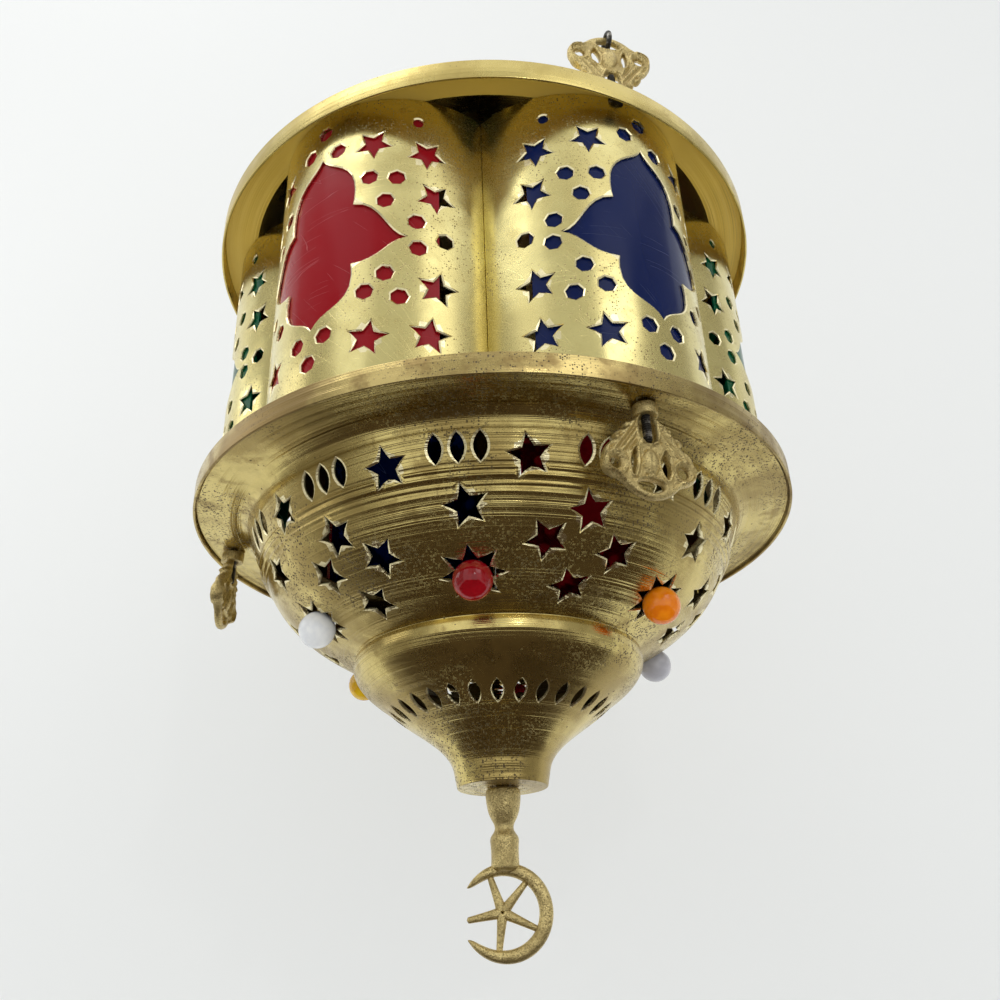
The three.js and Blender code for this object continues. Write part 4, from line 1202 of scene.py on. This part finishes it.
def turned_lines_group():
    """Marks of the spinning tool: noise along the distance down the piece alone, in wide,
    middle and fine lines, that wander a little round the piece."""
    tree, b, start, end = make_group(
        "turned_lines",
        [("Run", "Float", 0.0), ("Vector", "Vector", None)],
        [("Height", "Float"), ("Streak", "Float")],
    )
    run = start["Run"] + b.noise(start["Vector"], 14.0) * 0.0016
    wide, middle = b.line_noise(run, 330.0, 0.0), b.line_noise(run, 900.0)
    fine = b.line_noise(run, 2600.0)
    fade = b.range(b.noise(start["Vector"], 11.0), 0.38, 0.62, 0.25, 1.0)
    height = wide * 0.55 + middle * 0.3 + fine * 0.1
    close_group(b, end, Height=height * fade, Streak=fine * fade)
    return tree


def aged_group():
    """The ageing of brass: broad dull clouds, thin smears, dark specks and a fine grain."""
    tree, b, start, end = make_group(
        "aged_brass",
        [("Vector", "Vector", None), ("Bright", "Color", None), ("Dull", "Color", None),
         ("Dark", "Color", None), ("Clouds", "Float", 0.5), ("Specks", "Float", 0.3),
         ("Scratches", "Float", 0.5), ("Polish", "Float", 0.2)],
        [("Color", "Color"), ("Roughness", "Float"), ("Metal", "Float"), ("Height", "Float")],
    )
    vector = start["Vector"]

    def spots_of(scale, share, cluster):
        sockets = {"Vector": vector, "Scale": scale, "Share": share, "Cluster": cluster}
        return b.group(SPECKLE, sockets)["Mask"]

    broad = b.range(b.noise(vector, 24.0, 5.0, 0.6), 0.4, 0.62)
    smear = b.range(b.noise(vector, 90.0, 4.0, 0.65), 0.45, 0.7)
    dull = b.most(broad, smear) * start["Clouds"]
    spots = b.most(spots_of(1300.0, start["Specks"], 30.0),
                   spots_of(480.0, start["Specks"] * 0.4, 18.0))
    marks = b.group(SCRATCH, {"Vector": vector, "Amount": start["Scratches"]})["Mask"]
    colour = b.mix(dull, start["Bright"], start["Dull"])
    colour = b.mix(spots * 0.85, colour, start["Dark"])
    colour = b.mix(marks * 0.35, colour, start["Bright"])
    grain = b.noise(vector, 2400.0)
    uneven = b.range(grain, 0.3, 0.7, -0.04, 0.05, "LINEAR")
    rough = start["Polish"] + dull * 0.2 + spots * 0.3 + marks * 0.12 + uneven
    height = grain * 0.15 - spots * 0.5 - marks * 0.4
    close_group(b, end, Color=colour, Roughness=rough, Metal=1.0 - spots * 0.55, Height=height)
    return tree


SPECKLE = speckle_group()
SCRATCH = scratch_group()
TURNED = turned_lines_group()
AGED = aged_group()


def new_finish(name):
    """A material with an empty board, its Principled shader and the object's own place."""
    material = bpy.data.materials.new(name)
    material.use_nodes = True
    board = Board(material.node_tree)
    shader = material.node_tree.nodes["Principled BSDF"]
    return material, board, shader, board.wire("TexCoord", "Object")


def join(board, shader, **values):
    """Wires values to the shader's sockets."""
    names = {"base": "Base Color", "rough": "Roughness", "metal": "Metallic", "normal": "Normal"}
    for key, value in values.items():
        board.put(shader.inputs[names[key]], value)


def bump(board, height, distance, normal=None):
    """The normal bent by a height, on top of another bent normal if one is given."""
    sockets = {"Height": height, "Distance": distance, "Strength": 1.0}
    if normal is not None:
        sockets["Normal"] = normal
    return board.wire("Bump", "Normal", sockets)


def sides(board):
    """Masks of the cut edges and of the inner side of a sheet piece."""
    side = board.wire("Attribute", "Fac", attribute_name="side")
    cut = board.range(board.math("ABSOLUTE", side - 1.0), 0.6, 0.4)
    return cut, board.range(side, 1.4, 1.6)


CUT_BRASS = (0.92, 0.82, 0.5)


def sheet_brass(name, bright, dull, dark, clouds, specks, polish, dents, scratches=0.5, lines=0,
                inner_painted_tone=(0.2, 0.135, 0.045), within_metal=1.0):
    """Sheet brass: aged show side, bright cut edges and an inner side in a painted tone. lines is
    the depth of the spinning marks and dents that of the broad unevenness, in metres. The last two
    arguments are the colour of the inner side and its share of metal: by default a dark
    painted shade of the lantern's inside, on the cap's flat ring a bright painted gleam."""
    material, b, shader, place = new_finish(name)
    aged = b.group(AGED, {"Vector": place, "Bright": bright, "Dull": dull, "Dark": dark,
                          "Clouds": clouds, "Specks": specks, "Scratches": scratches,
                          "Polish": polish})
    cut, inner = sides(b)
    # The inner side is painted in its own tone: a dark painted shade on the bowl and panels, a
    # bright painted gleam on the cap's flat ring.
    colour = b.mix(inner, b.mix(cut, aged["Color"], CUT_BRASS), inner_painted_tone)
    rough = aged["Roughness"]
    normal = bump(b, b.noise(place, 26.0), dents)
    if lines:
        run = b.wire("SeparateXYZ", "Y", {0: b.wire("UVMap", 0, uv_map="surface")})
        marks = b.group(TURNED, {"Run": run, "Vector": place})
        normal = bump(b, marks["Height"], lines, normal)
        rough = rough + marks["Streak"] * 0.12
        colour = b.mix(b.range(marks["Streak"], 0.45, 0.8, 0.0, 0.6), colour, dull)
    normal = bump(b, aged["Height"], 0.00006, normal)
    rough = b.most(rough, inner * 0.42)
    metal = aged["Metal"] * b.range(inner, 0.0, 1.0, 1.0, within_metal)
    join(b, shader, base=colour, rough=rough, metal=metal, normal=normal)
    return material


def cast_brass(name, bright, dull, grain):
    """Sand-cast brass: a grainy skin, bright on its peaks and darker in its hollows, where shade is
    painted.
    """
    material, b, shader, place = new_finish(name)
    coarse = b.noise(place, 620.0, 3.0, 0.65)
    fine = b.noise(place, 1900.0, 2.0, 0.6)
    # hollow marks the sunk parts of the relief, where painted shade darkens the colour towards
    # dull; worn clouds and the grain's low spots darken it at random too.
    hollow = b.wire("Attribute", "Fac", attribute_name="hollow")
    worn = b.range(b.noise(place, 160.0, 4.0, 0.65), 0.38, 0.62)
    low = b.range(fine, 0.52, 0.38)
    shade = b.most(b.most(hollow * 0.85, worn * 0.5), low * 0.7)
    pits = b.group(SPECKLE, {"Vector": place, "Scale": 1100.0, "Share": 0.35, "Cluster": 60.0})
    pits = pits["Mask"]
    colour = b.mix(shade, bright, dull)
    colour = b.mix(pits * 0.6, colour, tuple(0.35 * c for c in dull))
    height = coarse * 0.6 + fine * 0.4 - pits * 0.3
    rough = b.range(coarse, 0.3, 0.7, 0.26, 0.46, "LINEAR")
    metal = 1.0 - shade * 0.25
    join(b, shader, base=colour, rough=rough, metal=metal, normal=bump(b, height, grain))
    return material


def coloured_sheet(name, colour, glow, scratch_colour):
    """Glossy tinted sheet: a little uneven, scratched, and letting part of the light through."""
    material, b, shader, place = new_finish(name)
    marks = b.group(SCRATCH, {"Vector": place, "Scale": 0.7, "Amount": 1.0})["Mask"]
    tone = b.range(b.noise(place, 20.0), 0.35, 0.65)
    base = b.mix(tone * 0.35, colour, glow)
    base = b.mix(marks * 0.2, base, scratch_colour)
    rough = b.range(b.noise(place, 60.0, 3.0), 0.35, 0.7, 0.1, 0.24, "LINEAR") + marks * 0.3
    normal = bump(b, b.noise(place, 30.0, 1.0), 0.00035)
    join(b, shader, base=base, rough=rough, normal=bump(b, marks, -0.00002, normal))
    shader.inputs["Transmission Weight"].default_value = 0.3
    shader.inputs["Specular IOR Level"].default_value = 0.05
    shader.inputs["IOR"].default_value = 1.45
    return material


def glass_bead(name, colour, deep):
    """Opaque pressed glass: clouded colour under a smooth gloss."""
    material, b, shader, place = new_finish(name)
    swirl = b.noise(place, 130.0, 3.0, 0.55)
    base = b.mix(b.range(swirl, 0.4, 0.65), colour, deep)
    rough = b.range(b.noise(place, 900.0), 0.35, 0.7, 0.04, 0.1, "LINEAR")
    join(b, shader, base=base, rough=rough, normal=bump(b, swirl, 0.00008))
    shader.inputs["Specular IOR Level"].default_value = 0.5
    shader.inputs["Subsurface Weight"].default_value = 0.15
    shader.inputs["Subsurface Radius"].default_value = (0.002, 0.002, 0.002)
    return material


def dark_steel(name):
    """Blackened steel with worn, shinier patches."""
    material, b, shader, place = new_finish(name)
    worn = b.range(b.noise(place, 380.0, 3.0, 0.6), 0.5, 0.68)
    base = b.mix(worn, (0.06, 0.056, 0.05), (0.4, 0.38, 0.34))
    rough = b.range(worn, 0.0, 1.0, 0.5, 0.32, "LINEAR")
    join(b, shader, base=base, rough=rough, normal=bump(b, b.noise(place, 1500.0), 0.00004))
    shader.inputs["Metallic"].default_value = 1.0
    return material


def moulded_plastic(name):
    """Satin black moulding with a fine grain."""
    material, b, shader, place = new_finish(name)
    grain = b.noise(place, 1800.0)
    tone = b.range(b.noise(place, 60.0), 0.35, 0.65)
    base = b.mix(tone, (0.012, 0.011, 0.011), (0.022, 0.02, 0.019))
    rough = b.range(grain, 0.3, 0.7, 0.32, 0.45, "LINEAR")
    join(b, shader, base=base, rough=rough, normal=bump(b, grain, 0.00003))
    return material


def pressed_metal(name):
    """Pale pressed metal with drawing marks round it."""
    material, b, shader, place = new_finish(name)
    marks = b.noise(place, 500.0, stretch=(0.1, 0.1, 1))
    base = b.mix(marks, (0.5, 0.5, 0.48), (0.66, 0.66, 0.64))
    rough = b.range(marks, 0.3, 0.7, 0.25, 0.42, "LINEAR")
    join(b, shader, base=base, rough=rough, normal=bump(b, marks, 0.00003))
    shader.inputs["Metallic"].default_value = 1.0
    return material


def dress(piece, material):
    """Gives a piece its one material."""
    piece.data.materials.clear()
    piece.data.materials.append(material)


# The bowl and the panels keep the default inner tone: a dark painted shade on their inner sides.
SPUN = sheet_brass(
    "spun_brass_finish", (0.74, 0.6, 0.23), (0.3, 0.2, 0.06), (0.05, 0.03, 0.015),
    clouds=0.7, specks=0.75, polish=0.14, dents=0.0006, lines=0.0011,
)
RIM = sheet_brass(
    "rim_brass_finish", (0.6, 0.47, 0.19), (0.27, 0.18, 0.07), (0.05, 0.035, 0.02),
    clouds=0.85, specks=0.6, polish=0.2, dents=0.0006, scratches=0.7, lines=0.0006,
)
# The flat ring under the cap is painted a bright yellow at less than half metal: a painted gleam,
# as of light reflected up onto it.
CAP = sheet_brass(
    "cap_brass_finish", (0.74, 0.6, 0.22), (0.46, 0.34, 0.1), (0.07, 0.04, 0.015),
    clouds=0.6, specks=0.4, polish=0.2, dents=0.0005, lines=0.0004,
    inner_painted_tone=(0.86, 0.61, 0.12), within_metal=0.45,
)
PANEL = sheet_brass(
    "panel_brass_finish", (0.84, 0.74, 0.33), (0.56, 0.45, 0.17), (0.16, 0.085, 0.03),
    clouds=0.5, specks=0.56, polish=0.18, dents=0.0012, scratches=0.6,
)
CAST = cast_brass("cast_brass_finish", (0.84, 0.68, 0.31), (0.19, 0.12, 0.035), 0.0007)
STEEL = dark_steel("dark_steel_finish")
PLASTIC = moulded_plastic("holder_plastic_finish")
SLEEVE = pressed_metal("sleeve_metal_finish")

# Colours of the sheets, as plain, lighter and scratched, and of the beads, as plain and deep
SHEET_COLOURS = {
    "blue": ((0.003, 0.012, 0.085), (0.004, 0.016, 0.11), (0.3, 0.34, 0.45)),
    "green": ((0.003, 0.1, 0.045), (0.004, 0.14, 0.058), (0.3, 0.45, 0.36)),
    "red": ((0.36, 0.006, 0.013), (0.42, 0.009, 0.018), (0.75, 0.4, 0.42)),
}
BEAD_COLOURS = {
    "red": ((0.27, 0.002, 0.007), (0.19, 0.001, 0.004)),
    "orange": ((0.85, 0.25, 0.006), (0.72, 0.16, 0.003)),
    "grey": ((0.55, 0.54, 0.58), (0.45, 0.44, 0.48)),
    "yellow": ((0.72, 0.45, 0.012), (0.6, 0.33, 0.006)),
    "white": ((0.88, 0.88, 0.87), (0.76, 0.77, 0.79)),
}
SHEETS = {name: coloured_sheet(f"{name}_sheet_finish", *tones)
          for name, tones in SHEET_COLOURS.items()}
GLASS = {name: glass_bead(f"{name}_glass_finish", *tones) for name, tones in BEAD_COLOURS.items()}


BODY = "lantern"


def mount(piece, stands_for, material, body=BODY):
    """Gives a piece its finish and the body it rides on, and hides the CAD node that it stands for.
    """
    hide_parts(stands_for)
    dress(piece, material)
    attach(piece, body)


mount(make_bowl(), "lower_bowl", SPUN)
mount(make_rim(), "base_rim", RIM)
mount(make_cap(), "top_cap", CAP)

for k, colour in enumerate(["blue", "green", "red", "blue", "green", "red"]):
    mount(make_panel(k), f"lobe_panel_{k + 1}", PANEL)
    mount(make_colour_sheet(k), f"colour_sheet_{k + 1}", SHEETS[colour])

for k, colour in enumerate(["red", "orange", "grey", "red", "yellow", "white"]):
    mount(make_bead(k), f"glass_bead_{k + 1}", GLASS[colour])

CAST_POINTS, *CAST_REST = cast_arrays()
# Heights of the screws' tips and seats
UPPER_SCREW, LOWER_SCREW = (158.1, 142.5), (-13.83, 4.1)
for k in range(3):
    azimuth = CAST_AZIMUTH + 120 * k
    points = seated(CAST_POINTS * (-1, 1, -1), LUG_RADIUS, LUG_SEAT, LUG_TURNS[k], azimuth)
    mount(make_casting(f"lug_{k + 1}", points, *CAST_REST), f"top_lug_{k + 1}", CAST)
    points = hung(CAST_POINTS, PENDANT_LEANS[k], PENDANT_TIPS[k])
    points = seated(points, PENDANT_RADIUS, PENDANT_SEAT, PENDANT_TURNS[k], azimuth)
    mount(make_casting(f"drop_{k + 1}", points, *CAST_REST), f"pendant_{k + 1}", CAST)
    upper = make_screw(f"upper_screw_{k + 1}", *UPPER_SCREW, azimuth, LUG_RADIUS)
    mount(upper, f"lug_screw_{k + 1}", STEEL)
    lower = make_screw(f"lower_screw_{k + 1}", *LOWER_SCREW, azimuth, PENDANT_RADIUS)
    mount(lower, f"pendant_screw_{k + 1}", STEEL)
    ring = make_ring(f"wire_ring_{k + 1}", LUG_TURNS[k], azimuth)
    mount(ring, f"chain_ring_{k + 1}", STEEL, f"ring_{k + 1}")

mount(make_finial(), "finial", CAST)
mount(make_nipple(), "holder_nipple", STEEL)
for name, loop, steps, stands_for, material, slot in [
    ("holder", rounded_loop(HOLDER_LOOP, 0.8, 4), 96, "lamp_holder", PLASTIC, "holder_plastic"),
    ("sleeve", rounded_loop(SLEEVE_LOOP, 0.3, 3), 96, "holder_sleeve", SLEEVE, "sleeve_metal"),
    ("bush", rounded_loop(BUSH_LOOP, 0.3, 3), 48, "cord_bush", PLASTIC, "holder_plastic"),
]:
    mount(turned(name, loop, steps), stands_for, material)

for name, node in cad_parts.items():
    if not node.hide_render:
        dress(node, CAST)


# Camera, light and stage
SCENE = bpy.context.scene
# Focal length in pixels of the photograph, whose side has PHOTO_SIDE of them
FOCAL, PHOTO_SIDE, SENSOR = 942.6, 1000, 36


def make_camera():
    """The camera of the photograph, from its fit to the lantern: place in rim radii, then
    yaw, pitch and roll."""
    data = bpy.data.cameras.new("camera")
    data.sensor_width = SENSOR
    data.lens = FOCAL / PHOTO_SIDE * SENSOR
    camera = bpy.data.objects.new("camera", data)
    SCENE.collection.objects.link(camera)
    place = np.array([0, -2.9646, -1.3727]) * RIM_RADIUS - (0, 0, ORIGIN_HEIGHT)
    yaw, pitch, roll = 0.0082, 0.4753, -0.0374
    forward = Vector((math.sin(yaw) * math.cos(pitch), math.cos(yaw) * math.cos(pitch),
                      math.sin(pitch)))
    right = forward.cross(Vector((0, 0, 1))).normalized()
    up = right.cross(forward)
    across = math.cos(roll) * right + math.sin(roll) * up
    upward = -math.sin(roll) * right + math.cos(roll) * up
    turn = Matrix((across, upward, -forward)).transposed().to_4x4()
    camera.matrix_world = Matrix.Translation(Vector(place) * MM) @ turn
    SCENE.camera = camera


make_camera()
CENTRE = Vector((0, 0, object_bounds()[0][2] / 2))


def make_world():
    """A soft white studio: brighter above than below."""
    world = bpy.data.worlds.new("studio")
    SCENE.world = world
    world.use_nodes = True
    b = Board(world.node_tree)
    up = b.wire("SeparateXYZ", "Z", {0: b.wire("TexCoord", "Generated")})
    tone = b.mix(b.range(up, -0.6, 0.9), (0.8, 0.81, 0.8), (0.96, 0.97, 0.97))
    background = world.node_tree.nodes["Background"].inputs
    b.put(background["Color"], tone)
    b.put(background["Strength"], 1.0)


def stage_finish(name, colour, kind, glow):
    """A matt stage colour. A piece that is one-sided can't be seen from its back, and a card
    shows in mirroring surfaces alone. glow is the share that shines plainly."""
    material = bpy.data.materials.new(name)
    material.use_nodes = True
    b = Board(material.node_tree)
    b.tree.nodes.remove(b.tree.nodes["Principled BSDF"])
    matt = b.wire("BsdfDiffuse", 0, {"Color": colour})
    if glow:
        light = b.wire("Emission", 0, {"Color": colour, "Strength": 1.0})
        matt = b.wire("MixShader", 0, {0: glow, 1: matt, 2: light})
    if kind == "card":
        share = 1.0 - b.wire("LightPath", "Is Glossy Ray")
    else:
        share = b.wire("NewGeometry", "Backfacing")
    mixed = b.wire("MixShader", 0, {0: share, 1: matt, 2: b.wire("BsdfTransparent", 0)})
    b.put(b.tree.nodes["Material Output"].inputs["Surface"], mixed)
    return material


def flat_face(axis, at, first, second):
    """The corners of a face square to an axis, at a place on it, between two opposite
    corners given on the other two axes."""
    (a, b), (c, d) = first, second
    return np.insert([(a, b), (c, b), (c, d), (a, d)], axis, at, axis=1).tolist()


def stage_piece(name, faces, colour, kind, glow=0.0):
    """A stage piece of flat faces, in metres in the frame's place, with its finish."""
    mesh = bpy.data.meshes.new(name)
    mesh.from_pydata(sum(faces, []), [], np.arange(4 * len(faces)).reshape(-1, 4).tolist())
    piece = bpy.data.objects.new(name, mesh)
    SCENE.collection.objects.link(piece)
    dress(piece, stage_finish(f"{name}_finish", colour, kind, glow))


def make_stage():
    """A pale backdrop behind the lantern, a pale floor far below it, and cards that shape
    what the polished brass mirrors: a dark one below, grey ones at the sides and in front."""
    side, back, floor, top = 2.4, 0.27, -1.3, 1.6
    low = -0.52
    backdrop = flat_face(1, back, (-side, floor), (side, top))
    stage_piece("backdrop", [backdrop], (0.85, 0.86, 0.855), "one-sided", 0.3)
    ground = flat_face(2, floor, (-side, -side), (side, back))
    stage_piece("floor", [ground], (0.84, 0.84, 0.83), "one-sided")
    below = flat_face(2, low, (-0.62, 0.16), (0.62, -0.9))
    stage_piece("dark_card", [below], (0.07, 0.05, 0.035), "card")
    beside = [flat_face(0, x, (-0.75, low), (0.1, 0.7)) for x in (-0.85, 0.85)]
    stage_piece("side_cards", beside, (0.4, 0.39, 0.36), "card")
    before = flat_face(1, -1.2, (-0.5, 0.1), (0.45, 1.1))
    stage_piece("front_card", [before], (0.62, 0.61, 0.57), "card")


def area_light(name, place, size, power):
    """A square lamp that points at the lantern's middle: place and side in metres, power in
    watts."""
    data = bpy.data.lights.new(name, "AREA")
    data.size, data.energy = size, power
    lamp = bpy.data.objects.new(name, data)
    SCENE.collection.objects.link(lamp)
    lamp.location = place
    lamp.rotation_mode = "QUATERNION"
    lamp.rotation_quaternion = (CENTRE - Vector(place)).to_track_quat("-Z", "Y")


make_world()
make_stage()
area_light("key", (-0.55, -0.4, 1.0), 0.6, 2.6)
area_light("left", (-0.8, -0.05, 0.12), 0.4, 0.7)
area_light("right", (0.45, -0.72, 0.3), 0.4, 0.45)
area_light("spark", (0.25, -1.0, 0.1), 0.06, 0.4)

SCENE.view_settings.view_transform = "Standard"
